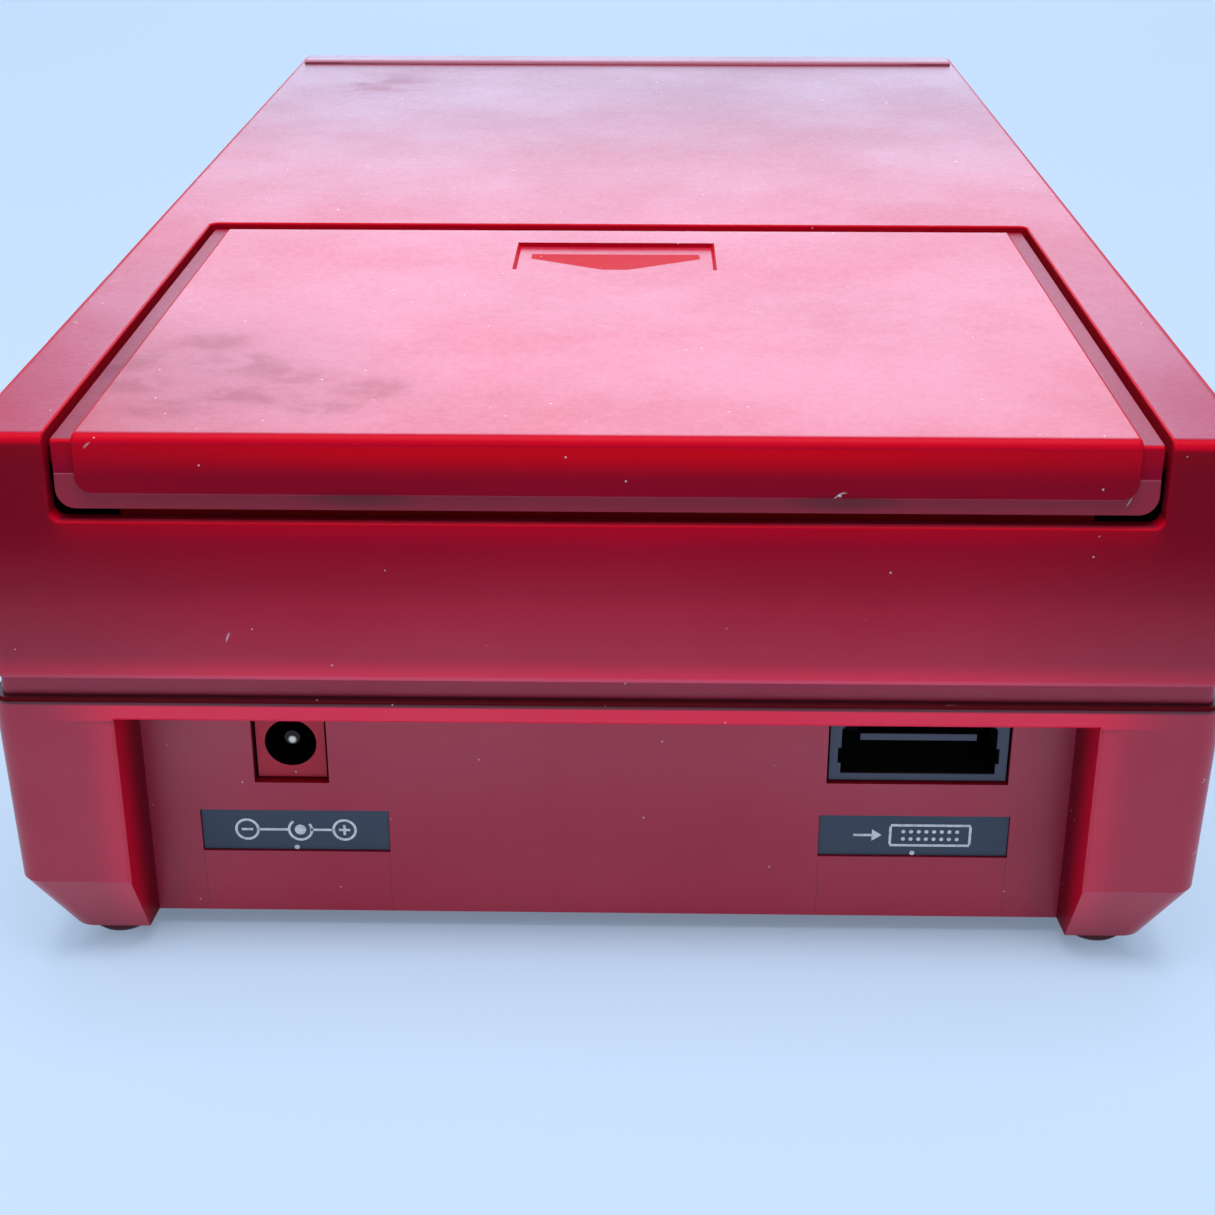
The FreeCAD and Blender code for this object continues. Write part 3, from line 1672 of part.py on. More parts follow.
pieces = [
    top_case, bottom_case, battery_door, battery_tray, battery_contact_plates, battery_springs,
    tray_screws, case_screws, rubber_feet, dc_label_plate, adapter_label_plate, shield_plate,
    dc_jack_body, dc_jack_pin, adapter_socket_shell, adapter_socket_tongue, adapter_contacts,
    power_board, power_board_screws, power_capacitors, regulator, heat_sink, front_bezel, power_lamp,
    eject_button, eject_slide, card_carrier, pad_arm, felt_pad, lift_springs, drive_chassis,
    mount_grommets, mount_screws, spindle_bearing, spindle_hub, flywheel, drive_motor, motor_screws,
    motor_pulley, drive_belt, feed_cam, cam_bearing, feed_pulley, feed_belt, guide_rods,
    head_carriage, read_head, drive_board, drive_board_screws, drive_board_chips, board_connectors,
    ribbon_cable, battery_leads, card_switches,
]

os.makedirs("parts", exist_ok=True)
for piece in pieces:
    piece().exportStep("parts/" + piece.__name__ + ".step")
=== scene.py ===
# %% [markdown]
# A red card disk drive unit, seen from behind.
# The solids of the part are already exact, so this lesson leaves their shapes alone. It gives each of them
# a finish that is worked out by nodes, adds the small pieces that only the eye needs, such as cross-slot
# screw heads and printed signs, and sets up a light tent and a camera.

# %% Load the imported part
import json
import math
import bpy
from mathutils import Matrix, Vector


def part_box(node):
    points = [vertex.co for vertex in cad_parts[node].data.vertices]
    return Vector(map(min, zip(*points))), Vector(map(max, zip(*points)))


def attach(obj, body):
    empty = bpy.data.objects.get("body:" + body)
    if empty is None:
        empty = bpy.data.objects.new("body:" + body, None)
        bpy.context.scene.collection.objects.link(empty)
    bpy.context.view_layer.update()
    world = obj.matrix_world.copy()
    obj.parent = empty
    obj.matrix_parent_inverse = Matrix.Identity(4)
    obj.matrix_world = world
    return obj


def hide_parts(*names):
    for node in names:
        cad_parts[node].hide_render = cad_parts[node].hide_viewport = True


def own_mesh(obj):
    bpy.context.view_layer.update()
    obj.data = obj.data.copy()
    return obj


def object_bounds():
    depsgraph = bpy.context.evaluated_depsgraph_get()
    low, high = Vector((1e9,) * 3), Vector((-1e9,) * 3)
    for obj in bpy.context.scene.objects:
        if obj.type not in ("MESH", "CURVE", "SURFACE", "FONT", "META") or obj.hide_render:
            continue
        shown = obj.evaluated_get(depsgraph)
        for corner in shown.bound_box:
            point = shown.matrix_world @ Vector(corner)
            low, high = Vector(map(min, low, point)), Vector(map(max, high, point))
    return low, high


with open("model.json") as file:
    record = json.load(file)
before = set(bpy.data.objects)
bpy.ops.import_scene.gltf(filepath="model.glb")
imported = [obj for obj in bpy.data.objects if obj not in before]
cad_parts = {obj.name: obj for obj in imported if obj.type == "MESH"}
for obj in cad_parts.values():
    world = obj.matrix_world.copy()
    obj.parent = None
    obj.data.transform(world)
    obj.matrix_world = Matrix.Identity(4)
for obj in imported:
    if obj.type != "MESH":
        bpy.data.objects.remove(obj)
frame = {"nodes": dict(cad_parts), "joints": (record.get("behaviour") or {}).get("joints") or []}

from types import SimpleNamespace

import bmesh
import bpy
from mathutils import Vector

MM = 0.001
solid_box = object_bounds()
print("solids", len(frame["nodes"]), "box", [round(v, 4) for v in solid_box[1] - solid_box[0]])

# %% [markdown]
# Shader trees are easier to read as sums than as a list of nodes and links.
# One small class holds a socket. Adding or multiplying two of them adds a Math node, and its one method for
# other nodes takes the node's type, its settings and what goes into its sockets. The same class serves the
# Geometry Nodes trees further down, because those trees are made of nodes and sockets too.

# %% Wires
class Wire:
    def __init__(self, tree, socket=None):
        self.tree = tree
        self.socket = socket

    def node(self, kind, settings=None, inputs=None, output=0):
        made = self.tree.nodes.new(kind)
        for name, value in (settings or {}).items():
            setattr(made, name, value)
        for key, value in (inputs or {}).items():
            if isinstance(value, Wire):
                self.tree.links.new(value.socket, made.inputs[key])
            else:
                made.inputs[key].default_value = value
        return Wire(self.tree, made.outputs[output] if made.outputs else None)

    def math(self, operation, *terms):
        return self.node("ShaderNodeMath", {"operation": operation}, dict(enumerate(terms)))

    def __add__(self, other):
        return self.math("ADD", self, other)

    def __sub__(self, other):
        return self.math("SUBTRACT", self, other)

    def __rsub__(self, other):
        return self.math("SUBTRACT", other, self)

    def __mul__(self, other):
        return self.math("MULTIPLY", self, other)

    def __abs__(self):
        return self.math("ABSOLUTE", self)

    __radd__ = __add__
    __rmul__ = __mul__


print("wires ready")

# %% [markdown]
# A finish starts from a place on the piece and ends in one shader.
# The place is the Object coordinate, in metres, so a grain of half a millimetre is a noise with a scale of
# about 2000. The way a face looks (up, sideways, down) comes from the normal, which is how the worn top of
# the case can differ from its clean flanks in a single material.

# %% Places and normals
def new_finish(name):
    material = bpy.data.materials.new(name)
    material.use_nodes = True
    material.node_tree.nodes.clear()
    return material, Wire(material.node_tree)


def position(wire):
    return wire.node("ShaderNodeTexCoord", output="Object")


def part_of(vector, axis):
    return vector.node("ShaderNodeSeparateXYZ", None, {0: vector}, axis)


def facing(wire, axis):
    return part_of(wire.node("ShaderNodeTexCoord", output="Normal"), axis)


print("place words ready")

# %% [markdown]
# Wear, grain and clouds are never even, so nearly every finish has a noise in it.
# A noise is a number between 0 and 1 at each place. A smooth step turns it, or a height, or a distance,
# into a mask, and a mask blends two colours or lifts a relief. A colour ramp could do the same, but its
# stops are buried in the node, while both ends of a smooth step are sockets that can be set by name.

# %% Noise and masks
def noise(at, scale, detail=2.0, roughness=0.5, distortion=0.0):
    sockets = {"Vector": at, "Scale": scale, "Detail": detail, "Roughness": roughness,
               "Distortion": distortion}
    return at.node("ShaderNodeTexNoise", None, sockets)


def stretched(at, x, y, z):
    return at.node("ShaderNodeMapping", None, {"Vector": at, "Scale": (x, y, z)})


def smooth(value, low, high):
    sockets = {"Value": value, "From Min": low, "From Max": high}
    return value.node("ShaderNodeMapRange", {"interpolation_type": "SMOOTHSTEP"}, sockets)


def fade(value, low, high):
    return 1 - smooth(value, low, high)


def between(value, low, high, soft):
    return smooth(value, low - soft, low) * fade(value, high, high + soft)


def blend(share, first, second):
    return share.node("ShaderNodeMix", {"data_type": "RGBA"}, {0: share, 6: first, 7: second}, 2)


def relief(height, depth, strength=1.0):
    return height.node("ShaderNodeBump", None, {"Height": height, "Distance": depth, "Strength": strength})


print("mask words ready")

# %% [markdown]
# All pieces of the unit end in the same shader, with different things in its sockets.
# The Principled shader covers plastic, metal, rubber and felt, and it is the one that can be baked for
# other programs. A finish then goes into each material slot that the solid came with.

# %% From a finish to a solid
def finished(material, wire, sockets):
    shader = wire.node("ShaderNodeBsdfPrincipled", None, sockets)
    wire.node("ShaderNodeOutputMaterial", None, {"Surface": shader})
    return material


def dress(material, *names):
    for name in names:
        piece = frame["nodes"][name]
        for slot in piece.material_slots:
            slot.material = material
    print(material.name, "on", len(names), "solids")


print("finish words ready")

# %% [markdown]
# Dust and fibres lie on everything that has been handled for years.
# They could be thousands of tiny meshes, but the part would drown in them, so they stay in the finish.
# Voronoi cells give one speck each, and only the cells with a high random number keep theirs. A fibre is a
# short piece of the line along which a noise passes its middle value, cut out by a larger speck.

# %% Dust and fibres
speck_core = 0.5
lot_blur = 0.02
fibre_windings = 170
fibre_core = 0.006
fibre_edge = 0.014


def specks(at, per_metre, size, kept):
    cells = {"Vector": at, "Scale": per_metre}
    distance = at.node("ShaderNodeTexVoronoi", None, cells)
    lot = at.node("ShaderNodeTexVoronoi", None, cells, 1)
    chosen = smooth(part_of(lot, 0), 1 - kept, 1 - kept + lot_blur)
    reach = size * per_metre
    return fade(distance, reach * speck_core, reach) * chosen


def fibres(at, per_metre, length, kept):
    drift = abs(noise(at, fibre_windings, detail=0.0) - 0.5)
    return fade(drift, fibre_core, fibre_edge) * specks(at, per_metre, length, kept)


print("dust ready")

# %% [markdown]
# The case is deep red ABS, moulded in a tool with a fine spark-eroded grain on its top faces.
# Years of hands and dust have left a thin film on it. The film is clear, so at a flat angle it mirrors the
# pale room and turns the red to pink, while a steep look still meets the deep colour under it. Pink paint
# would show from everywhere, so the film is a coat on the shader: strong on what faces up, and on upright
# faces strongest low down, where dust gathers. Low on upright faces the red is also painted lighter and
# pinker, a painted reflection of the pale floor. The rounded rims and corners are painted the purest red,
# a painted glow of light caught at the plastic's edges, found from the normal.

# %% Reds
deep_red = (0.37, 0.0014, 0.017, 1)
warm_red = (0.51, 0.0026, 0.028, 1)
rim_red = (0.66, 0.0018, 0.010, 1)
glow_red = (0.82, 0.0014, 0.010, 1)
beam_red = (0.97, 0.0060, 0.052, 1)
low_red = (0.58, 0.0040, 0.052, 1)
shade_red = (0.090, 0.006, 0.026, 1)
side_strip_red = (0.21, 0.010, 0.060, 1)
stain_and_shade_red = (0.13, 0.004, 0.010, 1)
film_and_highlight_pink = (0.62, 0.16, 0.27, 1)
lip_mauve = (0.52, 0.30, 0.40, 1)
dust_white = (0.82, 0.80, 0.80, 1)
print("reds from", shade_red[:3], "to", beam_red[:3])

# %% [markdown]
# One recipe makes the finish of every red piece, and each piece hands it a function for its own marks.
# A material for each piece could repeat the recipe, but a change to the red would then have to be made four
# times. The recipe works out the colour and the coat, lets the marks change both, and only then adds dust
# and grain.

# %% Red plastic
cloud_scale = 24
film_scale = 15
leather_scale = 1100
swell_scale = 60
pebble_depth = 0.12 * MM
dust_and_sheen_full = 37 * MM
dust_and_sheen_gone = 62 * MM


def red_dust(at, flat):
    small = specks(at, per_metre=420, size=0.16 * MM, kept=0.26)
    large = specks(at, per_metre=150, size=0.26 * MM, kept=0.22)
    threads = fibres(at, per_metre=150, length=1.0 * MM, kept=0.34) * (0.70 - flat * 0.50)
    return small + large + threads


def red_plastic(name, mark):
    material, wire = new_finish(name)
    at = position(wire)
    across, along, height = (part_of(at, axis) for axis in range(3))
    up = facing(wire, 2)
    aside = abs(facing(wire, 0))
    flat = smooth(up, 0.93, 0.995)
    upright = fade(up, 0.04, 0.30)
    brow = between(up, 0.35, 0.82, soft=0.18)
    corner = between(aside, 0.40, 0.85, soft=0.20) * upright
    low = fade(height, dust_and_sheen_full, dust_and_sheen_gone)
    clouds = noise(at, cloud_scale, detail=5.0, roughness=0.62)
    film = smooth(noise(at, film_scale, detail=8.0, roughness=0.70), 0.32, 0.70)
    leather = noise(at, leather_scale, detail=3.0, roughness=0.65, distortion=0.6)
    colour = blend(clouds, deep_red, warm_red)
    colour = blend(film * flat * 0.14, colour, film_and_highlight_pink)
    # painted glow: rounded rims and corners are pulled to the purest red, as light caught at the edges
    colour = blend(brow * 0.55 + corner * 0.30, colour, rim_red)
    # painted reflection: upright faces are lighter and pinker low down, as if mirroring the pale floor
    colour = blend(low * upright * 0.50, colour, low_red)
    sheen = 0.40 + film * 0.24 + smooth(leather, 0.36, 0.64) * 0.10
    look = SimpleNamespace(colour=colour, coat=flat * sheen + upright * low * (0.45 + clouds * 0.6))
    spot = SimpleNamespace(at=at, across=across, along=along, height=height, off_middle=abs(across),
                           flat=flat, upright=upright, aside=aside)
    mark(spot, look)
    pebbles = leather * (0.20 + flat * 0.80) + noise(at, swell_scale) * 0.4
    return finished(material, wire, {
        "Base Color": blend(red_dust(at, flat) * 0.62, look.colour, dust_white),
        "Roughness": 0.46 + film * flat * 0.08 + (clouds - 0.5) * 0.14 - brow * 0.10,
        "Normal": relief(pebbles, pebble_depth, strength=0.55), "Coat Weight": look.coat,
        "Specular IOR Level": 0.03, "Coat Roughness": 0.32, "Coat IOR": 1.65,
    })


print("red plastic ready")

# %% [markdown]
# Each red piece has marks of its own, and a mark pulls the colour or the film one way.
# Marks could be painted on a picture, but a picture has to be fitted to the piece. A mask that is worked
# out from the piece's own coordinates needs no fitting: it is a band between two places, or an oval broken
# up by noise.

# %% Words for marks
def oval(at, centre, reach):
    moved = at.node("ShaderNodeVectorMath", {"operation": "SUBTRACT"}, {0: at, 1: centre})
    scaled = at.node("ShaderNodeVectorMath", {"operation": "DIVIDE"}, {0: moved, 1: reach})
    length = at.node("ShaderNodeVectorMath", {"operation": "LENGTH"}, {0: scaled}, 1)
    return fade(length, 0.25, 1.0)


def pull(look, mask, colour, share):
    look.colour = blend(mask * share, look.colour, colour)


def thin(look, mask, share):
    look.coat = look.coat * (1 - mask * share)


def thicken(look, mask, share):
    look.coat = look.coat + mask * share


print("mark words ready")

# %% [markdown]
# The upper shell is the large red cover, with the door's notch in its rear.
# Light soaks into its plastic at an edge and makes the first few millimetres beside it glow, so the rear
# face is bright at its top, fades to dark and is bright again at its foot. A clear plastic that scatters
# light would glow by itself, but it renders slowly and can't be exported, so the glow is painted as bands
# of height.

# %% Marks on the shell's walls
door_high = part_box("battery_door")[1]
top_level = door_high.z
lip_level = top_level + 0.1 * MM
edge_glow = 4.5 * MM
notch_level = top_level - 10.8 * MM
notch_glow = notch_level - 0.6 * MM
shade_low = notch_level - 8 * MM
shade_high = notch_level - 4 * MM
band_low = top_level - 34.3 * MM
band_high = band_low + 2.8 * MM
crease_high = band_high + 0.5 * MM
foot_edge = band_high + 0.2 * MM
foot_glow = band_high + 3.6 * MM
shaded_from = 35 * MM
flank = 76 * MM


def beside_door(spot):
    return smooth(spot.off_middle, door_high.x - 2 * MM, door_high.x + 2 * MM)


def shell_wall_marks(spot, look):
    wall = spot.upright
    pull(look, wall * smooth(spot.height, top_level - edge_glow, top_level - MM), rim_red, share=0.55)
    # the raised lip at the front is pulled to a pale mauve
    pull(look, smooth(spot.height, top_level, lip_level), lip_mauve, share=0.75)
    foot = smooth(spot.height, band_high, foot_edge) * fade(spot.height, band_high, foot_glow)
    pull(look, wall * foot, beam_red, share=0.85)
    pull(look, wall * between(spot.height, shade_low, shade_high, soft=3 * MM), stain_and_shade_red, share=0.18)
    # painted shade in the groove between the shells, and a pale painted highlight along its upper edge
    pull(look, wall * between(spot.height, band_low, band_high, soft=0.1 * MM), shade_red, share=0.25)
    pull(look, wall * between(spot.height, band_high, crease_high, soft=0.3 * MM), film_and_highlight_pink, share=0.30)
    under_door = wall * fade(spot.off_middle, door_high.x, door_high.x + MM)
    pull(look, under_door * between(spot.height, notch_glow, notch_level, soft=2 * MM), rim_red, share=0.42)
    pull(look, wall * smooth(spot.off_middle, shaded_from, flank), stain_and_shade_red, share=0.40)
    # painted shade on the upper rear face beside the door
    beside_notch = beside_door(spot) * smooth(spot.height, notch_level - 6 * MM, notch_level)
    pull(look, wall * beside_notch, stain_and_shade_red, share=0.40)


print("glow ends", round(edge_glow / MM, 1), "mm under the top")

# %% [markdown]
# The front half of the shell's top is painted darker as shade, and the strips beside the door are darker.
# They are also more purple, with less film. These are slow changes from one end of the unit to the other,
# so a smooth step along it is enough. One old stain has an oval, broken up by noise. The floor of the
# door's notch is in shade, so it is painted darker and has lost its film.

# %% Marks on the shell's top
front_shade_from = -110 * MM
front_shade_to = 58 * MM
strip_from = -10 * MM
strip_to = 125 * MM
old_stain = (53 * MM, -93 * MM, top_level)
old_stain_reach = (16 * MM, 20 * MM, 4 * MM)
stain_scale = 90


def shell_top_marks(spot, look):
    notch_floor = spot.flat * between(spot.height, notch_level, notch_level, soft=0.3 * MM)
    pull(look, notch_floor, stain_and_shade_red, share=0.35)
    thin(look, notch_floor, share=1.0)
    # painted shade: the front half of the top is darker
    pull(look, spot.flat * fade(spot.along, front_shade_from, front_shade_to), shade_red, share=0.72)
    side_strip = spot.flat * beside_door(spot) * smooth(spot.along, strip_from, strip_to)
    pull(look, side_strip, side_strip_red, share=0.60)
    thin(look, side_strip, share=0.30)
    blotches = smooth(noise(spot.at, stain_scale, detail=4.0), 0.40, 0.62)
    thin(look, oval(spot.at, old_stain, old_stain_reach) * blotches, share=0.35)


def shell_marks(spot, look):
    shell_wall_marks(spot, look)
    shell_top_marks(spot, look)


dress(red_plastic("red_case_top", shell_marks), "top_case")

# %% [markdown]
# The door is pulled by the same thumb each time.
# One rear corner of its panel carries a cluster of soft finger marks, where grease has taken the shine off,
# under a broad soft oval of painted shade. The rim round the panel lies lower, is painted darker as shade
# and has less film. Each finger mark is an oval at a place on the panel, given in millimetres, and one
# noise breaks all of them up, so that no oval shows as such.

# %% Marks on the door's top
thumb_marks = [
    (61, 103, 9, 8), (43, 117, 10, 5), (29, 114, 7, 6), (53, 122, 8, 5), (47, 104, 10, 7), (34, 121, 7, 4),
    (58, 113, 7, 5), (39, 109, 8, 5), (52, 95, 8, 6),
]
thumb_mark_height = 4 * MM
grease_scale = 170
corner_shade_centre = (66 * MM, 112 * MM, top_level)
corner_shade_reach = (52 * MM, 46 * MM, 12 * MM)
rim_low = top_level - 0.85 * MM
rim_high = top_level - 0.75 * MM


def door_top_marks(spot, look):
    grease = smooth(noise(spot.at, grease_scale, detail=4.0, distortion=0.8), 0.30, 0.62)
    for x, y, wide, long in thumb_marks:
        reach = (wide * MM, long * MM, thumb_mark_height)
        mark = oval(spot.at, (x * MM, y * MM, top_level), reach) * grease
        pull(look, mark * spot.flat, stain_and_shade_red, share=0.28)
        thin(look, mark, share=0.30)
    # painted shade: a broad soft oval darkens the rear corner with the finger marks
    corner_shade = oval(spot.at, corner_shade_centre, corner_shade_reach) * spot.flat
    pull(look, corner_shade, shade_red, share=0.30)
    thin(look, corner_shade, share=0.22)
    thicken(look, spot.flat, share=0.07)
    # painted shade on the lower rim round the panel
    rim = spot.flat * fade(spot.height, rim_low, rim_high)
    pull(look, rim, shade_red, share=0.55)
    thin(look, rim, share=0.55)


print(len(thumb_marks), "thumb marks")

# %% [markdown]
# Behind the panel a skirt hangs down over the notch of the upper shell.
# It is painted darker as shade, with a painted glow under its top, a pale line painted across it as a
# highlight, a film of dust under that line, and two dark patches. The panel's own rear face is painted
# darker as shade, with a pale painted highlight along its foot, and glows at its top as the shell's does.
# The two faces are told apart by how far back they lie, which keeps them in one finish on one solid.

# %% Marks on the door's rear
skirt_face = door_high.y - 0.9 * MM
skirt_crease = top_level - 5.1 * MM
skirt_glow = top_level - 1.5 * MM
panel_from = skirt_face + 0.45 * MM
panel_to = skirt_face + 0.75 * MM
panel_foot_low = top_level - 7.7 * MM
panel_foot_high = top_level - 7.35 * MM
panel_glow_low = top_level - 5.5 * MM
panel_glow_high = top_level - 1.6 * MM
panel_glow_fall = (20 * MM, 72 * MM)
skirt_patch_places = [28.6 * MM, -28.0 * MM]
skirt_patch_reach = (9 * MM, 4 * MM, 1.6 * MM)
skirt_patch_y = door_high.y - 0.8 * MM
skirt_patch_level = top_level - 7.9 * MM


def door_rear_marks(spot, look):
    panel = spot.upright * smooth(spot.along, panel_from, panel_to)
    skirt = spot.upright - panel
    under_crease = fade(spot.height, skirt_crease, skirt_crease + 0.1 * MM)
    thicken(look, skirt * smooth(spot.along, skirt_face - 2 * MM, skirt_face) * under_crease, share=0.50)
    # painted shade on the skirt
    pull(look, skirt, shade_red, share=0.36)
    pull(look, skirt * smooth(spot.height, skirt_crease, skirt_glow), rim_red, share=0.45)
    # painted highlight: a pale line across the skirt
    crease = between(spot.height, skirt_crease, skirt_crease, soft=0.12 * MM)
    pull(look, skirt * crease, film_and_highlight_pink, share=0.45)
    # painted shade on the panel's rear face
    pull(look, panel, stain_and_shade_red, share=0.42)
    # painted highlight along the panel's foot
    foot = between(spot.height, panel_foot_low, panel_foot_high, soft=0.2 * MM)
    pull(look, panel * foot, film_and_highlight_pink, share=0.30)
    glow = panel * smooth(spot.height, panel_glow_low, panel_glow_high)
    pull(look, glow * (1 - smooth(spot.off_middle, *panel_glow_fall) * 0.45), glow_red, share=0.90)
    for x in skirt_patch_places:
        pull(look, oval(spot.at, (x, skirt_patch_y, skirt_patch_level), skirt_patch_reach), stain_and_shade_red, share=0.6)


print("skirt crease at", round(skirt_crease / MM, 1), "mm")

# %% [markdown]
# A sunk arrow shows which way the door slides, and its floor is sheltered from hands.
# So no film dims its red. The arrow is in the solid already, and the mask repeats its outline from the same
# few sizes: the width grows from the tip at a steady rate until it reaches the blunt ends.

# %% The arrow
arrow_red = (0.47, 0.0060, 0.010, 1)
arrow_tip = door_high.y - 75.1 * MM
arrow_length = 10.0 * MM
arrow_blunt_end = 2.6 * MM
arrow_half = 12.85 * MM
arrow_back = arrow_tip - arrow_length
arrow_slope = arrow_half / (arrow_length - arrow_blunt_end)


def arrow_mark(spot, look):
    spread = (arrow_tip - spot.along) * arrow_slope
    spread = spread.math("MINIMUM", spread, arrow_half)
    arrow = smooth(spread - spot.off_middle, 0.0, 0.15 * MM) * spot.flat
    arrow = arrow * smooth(spot.along, arrow_back - 0.1 * MM, arrow_back)
    pull(look, arrow, arrow_red, share=1.0)
    thin(look, arrow, share=1.0)


def door_marks(spot, look):
    door_top_marks(spot, look)
    door_rear_marks(spot, look)
    arrow_mark(spot, look)


dress(red_plastic("red_battery_door", door_marks), "battery_door")

# %% [markdown]
# The lower shell ends in a thin beam over the bay with the ports.
# The beam lets light through, so it is the brightest red on the unit. Over it runs the seam with the upper
# shell, which could be a dark mesh, but the gap is in the solids and only its walls are painted a darker
# red, as shade in the gap. Towards its two flanks the shell lies in shade.

# %% Marks of the beam
seam_red = (0.060, 0.0008, 0.004, 1)
beam_low = 35.9 * MM
beam_high = band_low - 0.8 * MM
seam_low = band_low - 0.9 * MM
seam_high = band_low - 0.5 * MM
bay_half = 60.5 * MM
base_shaded_from = 45 * MM


def beam_marks(spot, look):
    pull(look, spot.upright * smooth(spot.off_middle, base_shaded_from, flank), stain_and_shade_red, share=0.22)
    over_bay = fade(spot.off_middle, bay_half - 3 * MM, bay_half + 10 * MM)
    beam = over_bay * spot.upright * between(spot.height, beam_low, beam_high, soft=0.2 * MM)
    pull(look, beam, beam_red, share=0.95)
    thin(look, beam, share=0.15)
    # painted shade on the walls of the seam
    pull(look, smooth(spot.height, seam_low, seam_high), seam_red, share=0.95)
    pull(look, smooth(spot.height, band_low, band_low + 0.4 * MM), low_red, share=0.75)


print("beam from", round(beam_low / MM, 1), "to", round(beam_high / MM, 1), "mm")

# %% [markdown]
# The bay is let into the rear of the lower shell, between two corner pillars.
# The pillars' edges beside it let light through as the beam does. Their inner walls are painted dark
# towards the port panel as shade, with a painted highlight along the fold where they meet it, and the panel
# is painted darker beside them as shade. The panel holds a film of dust, and fine joint lines of the tool
# show under the ends of the sign plates. Most places come from the boxes of the plates and of the whole
# case, so these marks follow when those are moved.

# %% Marks of the bay
sign_low, sign_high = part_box("dc_label_plate")
other_low, other_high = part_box("adapter_label_plate")
joint_lines = [sign_low.x, sign_high.x, other_low.x, other_high.x]
joint_line_top = sign_low.z - 1.5 * MM
bay_front = sign_high.y
bay_step = bay_front + MM
rear_end = solid_box[1].y
pillar_edge = bay_half + 0.5 * MM
pillar_glow = 4.5 * MM
panel_dust_low = 14 * MM
panel_dust_high = 30 * MM


def bay_marks(spot, look):
    # painted shade on the panel next to the pillars
    corner = smooth(spot.off_middle, bay_half - 9 * MM, bay_half) * fade(spot.along, bay_front, bay_step)
    pull(look, corner * spot.upright, shade_red, share=0.30)
    outer = smooth(spot.along, bay_front + 2 * MM, rear_end - 0.5 * MM)
    edge = between(spot.off_middle, pillar_edge, pillar_edge, soft=pillar_glow) * outer
    edge = edge * fade(spot.height, beam_low - MM, beam_low)
    pull(look, edge * spot.upright, beam_red, share=0.34)
    panel = fade(spot.along, bay_front, bay_step) * smooth(spot.along, bay_front - 2 * MM, bay_front - MM)
    thicken(look, panel * spot.upright * smooth(spot.height, panel_dust_low, panel_dust_high), share=0.28)
    inner_wall = smooth(spot.aside, 0.80, 0.95) * fade(spot.off_middle, bay_half + MM, bay_half + 3 * MM)
    # painted shade on the inner walls towards the panel, painted glow towards their outer edge
    pull(look, inner_wall * (1 - outer), stain_and_shade_red, share=0.80)
    pull(look, inner_wall * outer, rim_red, share=0.40)
    # painted highlight along the fold between the inner walls and the panel
    fold = between(spot.along, bay_front, bay_front + 0.2 * MM, soft=0.1 * MM)
    pull(look, inner_wall * fold, film_and_highlight_pink, share=0.40)
    thin(look, inner_wall, share=0.9)


def base_marks(spot, look):
    beam_marks(spot, look)
    bay_marks(spot, look)
    below = fade(spot.height, joint_line_top, sign_low.z) * smooth(spot.along, bay_front - MM, bay_front)
    for x in joint_lines:
        pull(look, fade(abs(spot.across - x), 0.03 * MM, 0.16 * MM) * below, stain_and_shade_red, share=0.35)


dress(red_plastic("red_case_bottom", base_marks), "bottom_case")

# %% [markdown]
# The power inlet is a red block with a round hole, and the inside of the hole is painted black as shade.
# A dark piece could stand in the hole instead, but the squared distance from the hole's axis is enough to
# colour it.

# %% Marks of the inlet
pin_low, pin_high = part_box("dc_jack_pin")
inlet_axis = (pin_low + pin_high) / 2
inlet_bore = 3.32 * MM
inlet_wall = inlet_bore + 0.06 * MM
bore_black = (0.006, 0.005, 0.005, 1)


def squared_distance(at, centre):
    across = part_of(at, 0) - centre.x
    height = part_of(at, 2) - centre.z
    return across * across + height * height


def inlet_marks(spot, look):
    pull(look, spot.upright, rim_red, share=0.50)
    thin(look, spot.upright, share=0.30)
    # painted shade: black inside the hole
    bore_shade = fade(squared_distance(spot.at, inlet_axis), inlet_bore ** 2, inlet_wall ** 2)
    pull(look, bore_shade, bore_black, share=1.0)
    thin(look, bore_shade, share=1.0)


dress(red_plastic("red_inlet", inlet_marks), "dc_jack_body")

# %% [markdown]
# The moulded plastics share one recipe with different colours.
# The front bezel and battery tray are black ABS with a dull spark grain, the adapter socket is a slate grey
# moulding. A noise with a scale near 2200 gives the grain, and a slow one the unevenness of a moulded face.
# Dust settles on what faces up. Behind the socket's mouth no light returns, so its colour sinks to black
# there. The tray's rear wall shows through the gap under the door's skirt, where light that came through
# the shell tints it red.

# %% Moulded plastics
mould_cloud_scale = 45
mould_swell_scale = 70
spark_scale = 2200
spark_depth = 0.06 * MM


